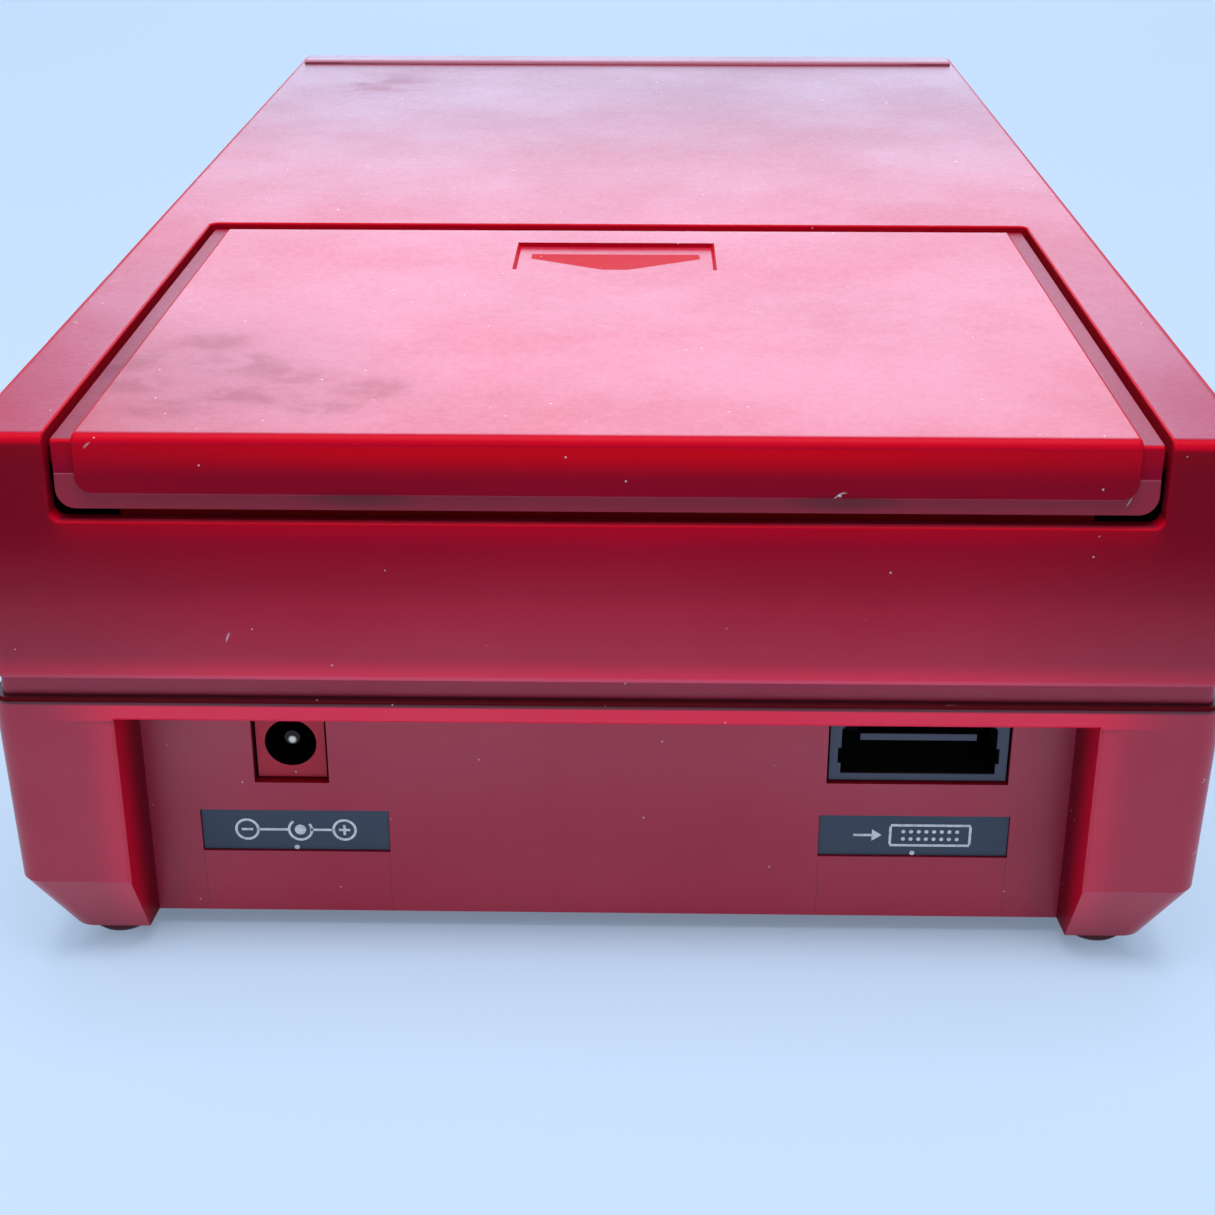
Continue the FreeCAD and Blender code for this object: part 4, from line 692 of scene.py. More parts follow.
def moulded(name, dark, light, gloss, grain, dusty=0.05, mouth=None, lit=None):
    material, wire = new_finish(name)
    at = position(wire)
    clouds = noise(at, mould_cloud_scale, detail=4.0, roughness=0.6)
    up = smooth(facing(wire, 2), 0.6, 0.98)
    colour = blend(clouds, dark, light)
    dust = specks(at, per_metre=160, size=0.2 * MM, kept=0.18) * 0.7 + up * smooth(clouds, 0.4, 0.7) * dusty
    colour = blend(dust, colour, dust_white)
    if mouth:
        colour = blend(smooth(part_of(at, 1), mouth - 0.5 * MM, mouth - 0.1 * MM), bore_black, colour)
    if lit:
        rear = smooth(facing(wire, 1), 0.80, 0.95) * smooth(part_of(at, 1), lit - 0.2 * MM, lit - 0.1 * MM)
        colour = blend(rear, colour, glow_red)
    rough = gloss + (clouds - 0.5) * 0.18 + up * 0.04
    height = noise(at, spark_scale) * grain + noise(at, mould_swell_scale) * 0.6
    return finished(material, wire, {
        "Base Color": colour, "Roughness": rough, "Normal": relief(height, spark_depth, strength=0.4),
    })


print("moulded plastics ready")

# %% [markdown]
# Each plastic is the recipe with two close colours, a gloss and a grain.
# One even colour would look like paint, so the clouds run between two that are close. The feed cam, its
# pulley, the head carriage and the connectors are white acetal, the eject button is amber ABS, the chips
# are epoxy, and the feet and the chassis bushes are rubber. The finishes have names, because small pieces
# further down use some of them again.

# %% Where each plastic goes
black = ((0.010, 0.010, 0.011, 1), (0.022, 0.021, 0.022, 1), 0.46, 1.0)
slate = ((0.050, 0.062, 0.090, 1), (0.075, 0.088, 0.120, 1), 0.42, 0.6, 0.02)
white_acetal = moulded("white_plastic", (0.66, 0.64, 0.58, 1), (0.76, 0.74, 0.69, 1), 0.35, 0.3)
amber_abs = moulded("amber_plastic", (0.62, 0.26, 0.020, 1), (0.74, 0.34, 0.035, 1), 0.38, 0.4)
chip_epoxy = moulded("chip_epoxy", (0.016, 0.016, 0.018, 1), (0.030, 0.030, 0.032, 1), 0.55, 1.4)
foot_rubber = moulded("foot_rubber", (0.11, 0.018, 0.022, 1), (0.17, 0.032, 0.036, 1), 0.72, 0.8, 0.10)
belt_rubber = moulded("belt_rubber", (0.012, 0.012, 0.012, 1), (0.022, 0.021, 0.020, 1), 0.62, 0.6)
grey_jacket = moulded("ribbon_jacket", (0.42, 0.43, 0.46, 1), (0.56, 0.57, 0.60, 1), 0.45, 0.3)
red_jacket = moulded("lead_jacket", (0.42, 0.012, 0.012, 1), (0.56, 0.020, 0.018, 1), 0.40, 0.3)
dress(moulded("black_plastic", *black), "front_bezel")
dress(moulded("black_tray", *black, lit=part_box("battery_tray")[1].y), "battery_tray")
for socket_part in ("adapter_socket_shell", "adapter_socket_tongue"):
    dress(moulded(socket_part + "_slate", *slate, mouth=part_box(socket_part)[1].y), socket_part)
dress(white_acetal, "feed_cam", "feed_pulley", "head_carriage", "board_connectors")
dress(amber_abs, "eject_button")
dress(chip_epoxy, "regulator", "drive_board_chips", "card_switches")
dress(foot_rubber, "mount_grommets")
dress(belt_rubber, "drive_belt", "feed_belt")
dress(grey_jacket, "ribbon_cable")
dress(red_jacket, "battery_leads")

# %% [markdown]
# The two sign plates are thin anodised sheet in slate grey, with a satin face.
# Light slides along their rolled grain, so the noise that sets roughness is stretched along the plate. Slow
# clouds vary the grey, and a little dust lies on it.

# %% Sign plates
plate_dark = (0.036, 0.052, 0.082, 1)
plate_light = (0.060, 0.078, 0.108, 1)
rolled_grain = (60, 900, 2600)
plate_cloud_scale = 120
plate_grain_depth = 0.02 * MM


def sign_sheet(name):
    material, wire = new_finish(name)
    at = position(wire)
    grain = noise(stretched(at, *rolled_grain), 1.0, detail=3.0)
    colour = blend(noise(at, plate_cloud_scale, detail=4.0), plate_dark, plate_light)
    colour = blend(specks(at, per_metre=300, size=0.16 * MM, kept=0.2) * 0.7, colour, dust_white)
    return finished(material, wire, {
        "Base Color": colour, "Roughness": 0.40 + grain * 0.16, "Metallic": 0.15,
        "Normal": relief(grain, plate_grain_depth, strength=0.3),
    })


dress(sign_sheet("slate_plate"), "dc_label_plate", "adapter_label_plate")

# %% [markdown]
# Metals differ mostly in colour and in how the tool left its lines.
# Rolled steel and turned brass show fine lines along one way, and a cast chassis is grainy all over. A
# noise stretched five to forty times along an axis makes the lines. Handling marks dull the metal in
# patches.

# %% Metals
patch_scale = 55
line_depth = 0.02 * MM


def metal(name, colour_a, colour_b, gloss, lines, streak=0.12):
    material, wire = new_finish(name)
    at = position(wire)
    brushed = noise(stretched(at, *lines), 1.0, detail=4.0, roughness=0.6)
    patches = smooth(noise(at, patch_scale, detail=5.0, roughness=0.6), 0.35, 0.75)
    colour = blend(patches, colour_a, colour_b)
    rough = gloss + brushed * streak + patches * 0.10
    return finished(material, wire, {
        "Base Color": colour, "Roughness": rough, "Metallic": 1.0,
        "Normal": relief(brushed, line_depth, strength=0.35),
    })


rolled_steel = metal("rolled_steel", (0.60, 0.60, 0.59, 1), (0.47, 0.47, 0.46, 1), 0.26, (90, 2600, 2600))
zinc_screw = metal("zinc_screw", (0.62, 0.61, 0.56, 1), (0.50, 0.48, 0.42, 1), 0.28, (1500, 1500, 300))
nickel_spring = metal("nickel_spring", (0.66, 0.64, 0.60, 1), (0.52, 0.50, 0.46, 1), 0.20, (700, 700, 700))
turned_brass = metal("turned_brass", (0.72, 0.50, 0.20, 1), (0.56, 0.37, 0.14, 1), 0.24, (300, 300, 3000))
cast_alloy = metal("cast_alloy", (0.58, 0.58, 0.59, 1), (0.44, 0.44, 0.45, 1), 0.40, (900, 900, 900), 0.2)
dress(rolled_steel, "shield_plate", "eject_slide", "card_carrier", "pad_arm", "drive_motor", "guide_rods",
      "spindle_hub")
dress(zinc_screw, "tray_screws", "power_board_screws", "drive_board_screws", "mount_screws", "motor_screws")
dress(nickel_spring, "battery_contact_plates", "battery_springs")
dress(turned_brass, "adapter_contacts", "spindle_bearing", "cam_bearing", "motor_pulley")
dress(cast_alloy, "drive_chassis", "heat_sink", "flywheel")

# %% [markdown]
# The pin in the power inlet is brass, and its end is painted dark brown as shade, with a painted highlight.
# The highlight is a disc round a point just under the pin's axis, where a rounded tip would catch the
# light.
# It is part of the finish, because the pin's end is flat all over.

# %% Inlet pin
pin_shade_brown = (0.030, 0.024, 0.020, 1)
pin_highlight_colour = (0.85, 0.76, 0.62, 1)
pin_highlight_spot = inlet_axis - Vector((0, 0, 0.30 * MM))
pin_highlight_inner = 0.22 * MM
pin_highlight_outer = 0.62 * MM
pin_grain_scale = 900


def highlighted_pin(name):
    material, wire = new_finish(name)
    at = position(wire)
    # painted highlight on the pin's end, which is otherwise painted dark as shade
    tip = fade(squared_distance(at, pin_highlight_spot), pin_highlight_inner ** 2, pin_highlight_outer ** 2)
    tip = tip * smooth(facing(wire, 1), 0.8, 0.95)
    rough = 0.40 - tip * 0.12 + noise(at, pin_grain_scale) * 0.06
    return finished(material, wire, {
        "Base Color": blend(tip, pin_shade_brown, pin_highlight_colour), "Roughness": rough, "Metallic": 0.8,
    })


dress(highlighted_pin("highlighted_pin"), "dc_jack_pin")

# %% [markdown]
# A circuit board is glass cloth under a green mask, with copper tracks that show through as paler green.
# Tracks run along the two edges of the board, and drawing each of them would take a layout that nobody sees
# in a closed case. With the Chebychev measure the places at one distance from a Voronoi point form a
# square, and its sides run in just those two ways. So thin bands of equal distance read as tracks.

# %% Circuit boards
mask_green = (0.010, 0.075, 0.030, 1)
track_green = (0.030, 0.17, 0.070, 1)
cloth_green = (0.020, 0.060, 0.025, 1)
cells_per_metre = 130.0
tracks_per_cell = 5.0
track_depth = 0.04 * MM
cloth_weave = (2200, 2200, 200)


def circuit_board(name):
    material, wire = new_finish(name)
    at = position(wire)
    sockets = {"Vector": at, "Scale": cells_per_metre}
    rings = at.node("ShaderNodeTexVoronoi", {"distance": "CHEBYCHEV"}, sockets) * tracks_per_cell
    tracks = fade(abs(rings.math("FRACT", rings) - 0.5), 0.10, 0.16)
    weave = noise(stretched(at, *cloth_weave), 1.0)
    colour = blend(tracks * 0.7, mask_green, track_green)
    colour = blend(weave * 0.25, colour, cloth_green)
    return finished(material, wire, {
        "Base Color": colour, "Roughness": 0.34 + weave * 0.14,
        "Normal": relief(tracks, track_depth, strength=0.6),
    })


dress(circuit_board("circuit_board"), "power_board", "drive_board")

# %% [markdown]
# Four small pieces inside and in front have finishes of their own.
# The capacitors wear a blue shrink sleeve that leaves their metal tops bare, the pad is pressed felt, the
# lamp has a clear red lens and the head is polished ferrite. Each is one noise between two close colours,
# which is all that pieces of this size need.

# %% Sleeves, felt, lamp and head
can_grey = (0.55, 0.55, 0.56, 1)
sleeve_dark = (0.020, 0.030, 0.090, 1)
sleeve_light = (0.035, 0.050, 0.130, 1)
sleeve_cloud_scale = 160
felt_dark = (0.50, 0.48, 0.42, 1)
felt_light = (0.74, 0.72, 0.66, 1)
felt_hair_scale = 3200
felt_depth = 0.2 * MM
lens_dark = (0.40, 0.008, 0.008, 1)
lens_light = (0.62, 0.016, 0.012, 1)
lens_streaks = (500, 120, 500)
ferrite_dark = (0.030, 0.030, 0.034, 1)
ferrite_light = (0.060, 0.060, 0.064, 1)
ferrite_grain_scale = 1800


def sleeve(name):
    material, wire = new_finish(name)
    up = smooth(facing(wire, 2), 0.7, 0.95)
    clouds = noise(position(wire), sleeve_cloud_scale, detail=3.0)
    colour = blend(clouds, sleeve_dark, sleeve_light)
    return finished(material, wire, {
        "Base Color": blend(up, colour, can_grey), "Roughness": 0.28 + clouds * 0.15, "Metallic": up,
    })


def felt(name):
    material, wire = new_finish(name)
    hairs = noise(position(wire), felt_hair_scale, detail=4.0, roughness=0.7, distortion=1.5)
    return finished(material, wire, {
        "Base Color": blend(hairs, felt_dark, felt_light),
        "Roughness": 0.92 - hairs * 0.05, "Sheen Weight": 0.4,
        "Normal": relief(hairs, felt_depth, strength=0.8),
    })


def lens(name):
    material, wire = new_finish(name)
    streaks = noise(stretched(position(wire), *lens_streaks), 1.0, detail=2.0)
    return finished(material, wire, {
        "Base Color": blend(streaks, lens_dark, lens_light),
        "Roughness": 0.10 + streaks * 0.10, "Coat Weight": 0.6,
    })


def polished_ferrite(name):
    material, wire = new_finish(name)
    grain = noise(position(wire), ferrite_grain_scale, detail=3.0)
    return finished(material, wire, {
        "Base Color": blend(grain, ferrite_dark, ferrite_light),
        "Roughness": 0.14 + grain * 0.10, "Metallic": 0.3,
    })


dress(sleeve("can_sleeve"), "power_capacitors")
dress(felt("pad_felt"), "felt_pad")
dress(lens("lamp_lens"), "power_lamp")
dress(polished_ferrite("head_ferrite"), "read_head")

# %% [markdown]
# The screws under the case and the four feet are the same kind of thing: a round stud, repeated.
# Each could be modelled by hand and copied, but a Geometry Nodes tree makes one and puts it on every point
# it is given, and its sizes are named inputs. Three helpers come first: they join parts, name the inputs,
# and make the copies real with their finish.

# %% Words for geometry trees
def joined_geometry(wire, parts):
    made = wire.tree.nodes.new("GeometryNodeJoinGeometry")
    for part in parts:
        wire.tree.links.new(part.socket, made.inputs[0])
    return Wire(wire.tree, made.outputs[0])


def tree_inputs(tree, kinds):
    for label, kind in kinds.items():
        tree.interface.new_socket(label, in_out="INPUT", socket_type="NodeSocket" + kind)
    tree.interface.new_socket("Result", in_out="OUTPUT", socket_type="NodeSocketGeometry")
    source = tree.nodes.new("NodeGroupInput")
    return {socket.name: Wire(tree, socket) for socket in source.outputs if socket.name}


def copies(wire, places, piece, finish):
    spread = wire.node("GeometryNodeInstanceOnPoints", None, {"Points": places, "Instance": piece})
    real = wire.node("GeometryNodeRealizeInstances", None, {"Geometry": spread})
    ended = wire.node("GeometryNodeSetMaterial", None, {"Geometry": real, "Material": finish})
    wire.node("NodeGroupOutput", None, {"Result": ended})


print("tree words ready")

# %% [markdown]
# A stud is three round tiers: a crown, a rim and a shank.
# A lathe along a profile would make the same form, but then a screw and a foot would need two profiles.
# Tiers with named radii and heights serve both. Where a screw needs its cross slot, two bars are taken out
# of the crown.

# %% A tree for studs
stud_sides = 40
stud_inputs = {
    "Places": "Geometry", "Finish": "Material", "Crown Radius": "Float", "Crown Height": "Float",
    "Rim Radius": "Float", "Rim Height": "Float", "Shank Radius": "Float", "Shank Height": "Float",
    "Slot Width": "Float", "Slot Length": "Float", "Slot Depth": "Float",
}


def stud_tree(name, slotted):
    tree = bpy.data.node_groups.new(name, "GeometryNodeTree")
    given = tree_inputs(tree, stud_inputs)
    wire = given["Places"]

    def tier(low, high, height, floor):
        sockets = {"Vertices": stud_sides, "Radius Bottom": low, "Radius Top": high, "Depth": height}
        lift = wire.node("ShaderNodeCombineXYZ", None, {"Z": floor})
        cone = wire.node("GeometryNodeMeshCone", None, sockets)
        return wire.node("GeometryNodeTransform", None, {"Geometry": cone, "Translation": lift})

    def slot(length, width):
        sides = {"X": length, "Y": width, "Z": given["Slot Depth"] * 2}
        size = wire.node("ShaderNodeCombineXYZ", None, sides)
        return wire.node("GeometryNodeMeshCube", None, {"Size": size})

    crown = tier(given["Crown Radius"], given["Rim Radius"], given["Crown Height"], 0.0)
    if slotted:
        arm = (given["Slot Length"], given["Slot Width"])
        cross = joined_geometry(wire, [slot(*arm), slot(*reversed(arm))])
        sockets = {"Mesh 1": crown, "Mesh 2": cross}
        crown = wire.node("GeometryNodeMeshBoolean", {"operation": "DIFFERENCE"}, sockets)
    rim = tier(given["Rim Radius"], given["Rim Radius"], given["Rim Height"], given["Crown Height"])
    shank_floor = given["Crown Height"] + given["Rim Height"]
    shank = tier(given["Shank Radius"], given["Shank Radius"], given["Shank Height"], shank_floor)
    copies(wire, wire, joined_geometry(wire, [crown, rim, shank]), given["Finish"])
    return tree


slotted_stud = stud_tree("slotted_stud", slotted=True)
plain_stud = stud_tree("plain_stud", slotted=False)
print("stud trees", len(slotted_stud.nodes), "and", len(plain_stud.nodes), "nodes")

# %% [markdown]
# A tree needs an object to work on: here a cloud of loose points, one for each place.
# The inputs are set by the identifier of each socket before the object is first evaluated. Then the result
# is copied into a plain mesh, the modifier goes, and the piece is told which body it rides on.

# %% From points to a piece
sharp_angle = math.radians(32)


def settle(piece, body, replaced=()):
    for face in piece.data.polygons:
        face.use_smooth = True
    piece.data.set_sharp_from_angle(angle=sharp_angle)
    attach(piece, body)
    if replaced:
        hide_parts(*replaced)
    low, high = (Vector(map(pick, zip(*[v.co for v in piece.data.vertices]))) for pick in (min, max))
    print(piece.name, len(piece.data.polygons), "faces", [round(v / MM, 2) for v in (*low, *high)])
    return piece


def new_piece(name, mesh):
    piece = bpy.data.objects.new(name, mesh)
    bpy.context.scene.collection.objects.link(piece)
    return piece


def grow(name, points, tree, values, body, replaced=()):
    mesh = bpy.data.meshes.new(name)
    mesh.from_pydata(points, [], [])
    piece = new_piece(name, mesh)
    modifier = piece.modifiers.new("tree", "NODES")
    modifier.node_group = tree
    sockets = {item.name: item.identifier for item in tree.interface.items_tree if item.in_out == "INPUT"}
    for label, value in values.items():
        modifier[sockets[label]] = value
    graph = bpy.context.evaluated_depsgraph_get()
    piece.data = bpy.data.meshes.new_from_object(piece.evaluated_get(graph))
    piece.modifiers.clear()
    return settle(piece, body, replaced)


print("ready to grow pieces")

# %% [markdown]
# Six pan-head screws hold the two shells together from below, sunk in their bosses.
# Their places are the ends of the box of the screws' solid and a row near its middle. The head is as wide
# and as high as the solid's, with its crown and cross slot facing down. The solids have plain heads, so
# these pieces stand for them.

# %% Case screws
screw_low, screw_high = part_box("case_screws")
screw_head_radius = 2.9 * MM
screw_crown = 0.9 * MM
screw_head_height = 1.8 * MM
screw_middle = 2.0 * MM
screw_rows = [screw_low.y + screw_head_radius, screw_middle, screw_high.y - screw_head_radius]
screw_x = screw_high.x - screw_head_radius
screw_points = [(side * screw_x, y, screw_low.z) for side in (-1, 1) for y in screw_rows]
grow("cross_slot_screws", screw_points, slotted_stud, {
    "Finish": zinc_screw, "Crown Radius": 2.3 * MM, "Crown Height": screw_crown,
    "Rim Radius": screw_head_radius, "Rim Height": screw_head_height - screw_crown,
    "Shank Radius": 1.5 * MM, "Shank Height": screw_high.z - screw_low.z - screw_head_height,
    "Slot Width": 0.75 * MM, "Slot Length": 3.0 * MM, "Slot Depth": 0.75 * MM,
}, "case", ["case_screws"])

# %% [markdown]
# The feet are turned rubber studs with a bevelled edge, pressed into seats in the lower shell.
# They are the plain stud of the same tree: the crown is the bevel, and the shank sits in the shell.

# %% Feet
foot_low, foot_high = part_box("rubber_feet")
foot_radius = 4.2 * MM
foot_bevel = 0.7 * MM
foot_seat = 0.8 * MM
foot_clearance = 0.05 * MM
foot_points = [(x, y, foot_low.z) for x in (foot_low.x + foot_radius, foot_high.x - foot_radius)
               for y in (foot_low.y + foot_radius, foot_high.y - foot_radius)]
grow("turned_feet", foot_points, plain_stud, {
    "Finish": foot_rubber, "Crown Radius": foot_radius - foot_bevel, "Crown Height": foot_bevel,
    "Rim Radius": foot_radius, "Rim Height": foot_high.z - foot_low.z - foot_bevel - foot_seat,
    "Shank Radius": foot_radius - foot_clearance, "Shank Height": foot_seat,
}, "case", ["rubber_feet"])

# %% [markdown]
# Printed signs, raised marks and bare plates are all flat shapes on a face.
# A sheet knows where its middle is and which ways are across and up on that face. Bars, discs, rings and
# rounded plates are drawn on it as flat polygons, and then bmesh lifts them off the face by their
# thickness.

# %% A sheet to draw on
merge_gap = 0.005 * MM


def from_bmesh(name, shape, material):
    mesh = bpy.data.meshes.new(name)
    shape.to_mesh(mesh)
    shape.free()
    mesh.materials.clear()
    mesh.materials.append(material)
    return new_piece(name, mesh)


class Sheet:
    def __init__(self, middle, across, up):
        self.mesh = bmesh.new()
        self.middle = Vector(middle)
        self.across = Vector(across)
        self.up = Vector(up)

    def point(self, u, v):
        return self.mesh.verts.new(self.middle + self.across * u + self.up * v)

    def bar(self, u, v, half_width, half_height):
        corners = ((-1, -1), (1, -1), (1, 1), (-1, 1))
        self.mesh.faces.new([self.point(u + i * half_width, v + j * half_height) for i, j in corners])

    def disc(self, u, v, radius, sides=24):
        turns = [2 * math.pi * n / sides for n in range(sides)]
        self.mesh.faces.new([self.point(u + radius * math.cos(t), v + radius * math.sin(t)) for t in turns])

    def ring(self, u, v, radius, width, start=0.0, sweep=360.0, steps=40):
        rows = []
        for n in range(steps + 1):
            turn = math.radians(start + sweep * n / steps)
            rows.append([self.point(u + r * math.cos(turn), v + r * math.sin(turn))
                         for r in (radius - width / 2, radius + width / 2)])
        for low, high in zip(rows, rows[1:]):
            self.mesh.faces.new([low[0], low[1], high[1], high[0]])

    def plate(self, half_width, half_height, radius, steps=6):
        rim = []
        for quarter, (i, j) in enumerate(((1, 1), (-1, 1), (-1, -1), (1, -1))):
            for n in range(steps + 1):
                turn = math.pi / 2 * (quarter + n / steps)
                rim.append(self.point(i * (half_width - radius) + radius * math.cos(turn),
                                      j * (half_height - radius) + radius * math.sin(turn)))
        self.mesh.faces.new(rim)

    def piece(self, name, thick, material, body, slot):
        bmesh.ops.remove_doubles(self.mesh, verts=self.mesh.verts, dist=merge_gap)
        raised = bmesh.ops.extrude_face_region(self.mesh, geom=self.mesh.faces[:])
        moved = [item for item in raised["geom"] if isinstance(item, bmesh.types.BMVert)]
        bmesh.ops.translate(self.mesh, verts=moved, vec=self.across.cross(self.up) * thick)
        bmesh.ops.recalc_face_normals(self.mesh, faces=self.mesh.faces)
        return settle(from_bmesh(name, self.mesh, material), body)


print("sheet ready")

# %% [markdown]
# The signs on the two rear plates are plain pictures in off-white ink.
# They are screen-printed, so each is a layer a few hundredths of a millimetre thick, with grainy wear in
# its colour. A mask in the plate's finish would blur when it is baked, so the ink is a mesh. A pale dot of
# the same ink sits at the foot of each plate.

# %% Ink
ink_worn = (0.66, 0.67, 0.66, 1)
ink_fresh = (0.93, 0.92, 0.88, 1)
ink_wear_scale = 1600
ink_thick = 0.04 * MM
line = 0.17 * MM
dot = 0.34 * MM
dot_sides = 12
rear_across = (-1, 0, 0)
rear_up = (0, 0, 1)


def ink_finish(name):
    material, wire = new_finish(name)
    wear = smooth(noise(position(wire), ink_wear_scale, detail=3.0), 0.30, 0.55)
    colour = blend(wear, ink_worn, ink_fresh)
    return finished(material, wire, {"Base Color": colour, "Roughness": 0.55 - wear * 0.1})


def sign_on(plate):
    low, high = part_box(plate)
    sheet = Sheet(((low.x + high.x) / 2, high.y, (low.z + high.z) / 2), rear_across, rear_up)
    sheet.disc(0, (low.z - high.z) / 2 + dot, dot, dot_sides)
    return sheet


def plus_or_minus(sheet, u, v, reach, half_line, plus):
    sheet.bar(u, v, reach, half_line)
    if plus:
        for side in (-1, 1):
            sheet.bar(u, v + side * (reach + half_line) / 2, half_line, (reach - half_line) / 2)


ink = ink_finish("white_ink")
print(ink.name, "is", round(ink_thick / MM, 2), "mm thick")

# %% [markdown]
# The sign under the power inlet shows which pole of a plug is which.
# Two ringed poles, plus and minus, lead to a core and to the open sleeve round it. All of it is bars, discs
# and rings on the sheet.

# %% Polarity sign
pole_place = 6.4 * MM
pole_radius = 1.45 * MM
pole_mark = 0.75 * MM
lead_bars = [(-3.0 * MM, 1.95 * MM), (3.4 * MM, 1.55 * MM)]
plug_place = 0.6 * MM
plug_core = 0.75 * MM
plug_sleeve = 1.5 * MM
sleeve_start = 125.0
sleeve_sweep = 270.0


def polarity_sign():
    sheet = sign_on("dc_label_plate")
    for side in (-1, 1):
        sheet.ring(side * pole_place, 0, pole_radius, 2 * line)
        plus_or_minus(sheet, side * pole_place, 0, pole_mark, line, side > 0)
    for place, half_length in lead_bars:
        sheet.bar(place, 0, half_length, line)
    sheet.disc(plug_place, 0, plug_core)
    sheet.ring(plug_place, 0, plug_sleeve, 2 * line, sleeve_start, sleeve_sweep)
    return sheet.piece("polarity_sign", ink_thick, ink, "case", "white_plastic")


polarity_sign()

# %% [markdown]
# The sign under the adapter socket is a connector's outline with two rows of contacts, and an arrow to it.
# The contacts are a loop over columns, spread about the middle of the outline.

# %% Connector sign
outline_place = 2.2 * MM
outline_half_width = 5.2 * MM
outline_half_height = 1.5 * MM
contact_columns = 8
contact_pitch = 1.0 * MM
contact_row = 0.55 * MM
contact_radius = 0.27 * MM
pointer_shaft = -6.6 * MM
pointer_half = 1.2 * MM
pointer_neck = pointer_shaft + pointer_half
pointer_tip = -4.1 * MM
pointer_head = 0.85 * MM


def connector_sign():
    sheet = sign_on("adapter_label_plate")
    for side in (-1, 1):
        sheet.bar(outline_place, side * outline_half_height, outline_half_width, line)
        sheet.bar(outline_place + side * outline_half_width, 0, line, outline_half_height - line)
        for column in range(contact_columns):
            place = outline_place + (column - (contact_columns - 1) / 2) * contact_pitch
            sheet.disc(place, side * contact_row, contact_radius, dot_sides)
    sheet.bar(pointer_shaft, 0, pointer_half, line)
    corners = [(pointer_neck, pointer_head), (pointer_neck, -pointer_head), (pointer_tip, 0)]
    sheet.mesh.faces.new([sheet.point(u, v) for u, v in corners])
    return sheet.piece("connector_sign", ink_thick, ink, "case", "white_plastic")


connector_sign()

# %% [markdown]
# Two bare plates fill the shallow seats that the mouldings leave for them.
# One is a strip of brushed foil on the front bezel, the other a matt sheet under the unit. Both are rounded
# rectangles a little smaller than their seats, drawn on a sheet as the signs are, and they carry no print.

# %% Bare plates
foil = metal("brushed_foil", (0.62, 0.61, 0.60, 1), (0.52, 0.51, 0.50, 1), 0.24, (60, 2600, 2600), 0.16)
sheet_grey = metal("under_plate", (0.40, 0.40, 0.41, 1), (0.31, 0.31, 0.32, 1), 0.46, (1100, 60, 1100))
seat_gap = 0.3 * MM
plate_corner = 0.8 * MM
front_seat = {"half": (23.0 * MM, 4.0 * MM), "level": 24.0 * MM, "depth": 0.6 * MM, "thick": 0.45 * MM}
under_seat = {"half": (30.0 * MM, 15.0 * MM), "level": 2.6 * MM, "depth": 0.4 * MM, "thick": 0.3 * MM}
under_seat_y = -30.0 * MM


def bare_plate(name, middle, across, up, seat, finish):
    sheet = Sheet(middle, across, up)
    sheet.plate(*(half - seat_gap for half in seat["half"]), plate_corner)
    return sheet.piece(name, seat["thick"], finish, "case", "alloy")


bezel_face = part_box("front_bezel")[0].y
front_floor = (0, bezel_face + front_seat["depth"], front_seat["level"])
bare_plate("front_foil_plate", front_floor, (1, 0, 0), (0, 0, 1), front_seat, foil)
under_floor = (0, under_seat_y, under_seat["level"] + under_seat["depth"])
bare_plate("underside_plate", under_floor, (1, 0, 0), (0, -1, 0), under_seat, sheet_grey)

# %% [markdown]
# The battery bay shows which way round each cell goes, with a plus and a minus raised from its floor.
# Cells in a row share one direction, and the next row is turned round. The minus is at the spring. The
# marks are drawn on a sheet that lies on the floor of the bay. They are tipped with the same pale ink as
# the signs, or nobody would find them in a black bay.

# %% Cell marks in the bay
tray_low, tray_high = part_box("battery_tray")
tray_wall = 2.0 * MM
cell_diameter = 26.2 * MM
cell_proud = 0.2 * MM
tray_floor = tray_high.z - cell_diameter + cell_proud
rows = 3
row_pitch = 27.0 * MM
mark_inset = 22.0 * MM
mark_reach = 2.4 * MM
mark_line = 0.5 * MM
mark_thick = 0.25 * MM


def cell_marks():
    sheet = Sheet((0, tray_low.y + tray_wall, tray_floor), (1, 0, 0), (0, 1, 0))
    for row in range(rows):
        spring_side = 1 if row % 2 else -1
        for side in (-1, 1):
            place = side * (tray_high.x - mark_inset)
            plus_or_minus(sheet, place, (row + 0.5) * row_pitch, mark_reach, mark_line, side != spring_side)
    return sheet.piece("cell_marks", mark_thick, ink, "case", "white_plastic")


cell_marks()

# %% [markdown]
# The eject button has a row of upright grip ribs, so that a finger doesn't slip off it.
# A rib is a long thin pip, half sunk in the button's face. The tree scales a sphere to the rib's three
# named sizes and puts one on each point of the row, so the count and the pitch can change without drawing
# anything again.

# %% Grip ribs
rib_segments = 16
rib_rings = 12


def rib_tree():
    tree = bpy.data.node_groups.new("grip_rib", "GeometryNodeTree")
    sizes = ("Half Width", "Rise", "Half Height")
    kinds = {"Places": "Geometry", "Finish": "Material"} | {size: "Float" for size in sizes}
    given = tree_inputs(tree, kinds)
    wire = given["Places"]
    sockets = {"Segments": rib_segments, "Rings": rib_rings, "Radius": 1.0}
    ball = wire.node("GeometryNodeMeshUVSphere", None, sockets)
    scale = wire.node("ShaderNodeCombineXYZ", None, {axis: given[size] for axis, size in zip("XYZ", sizes)})
    rib = wire.node("GeometryNodeTransform", None, {"Geometry": ball, "Scale": scale})
    copies(wire, wire, rib, given["Finish"])
    return tree


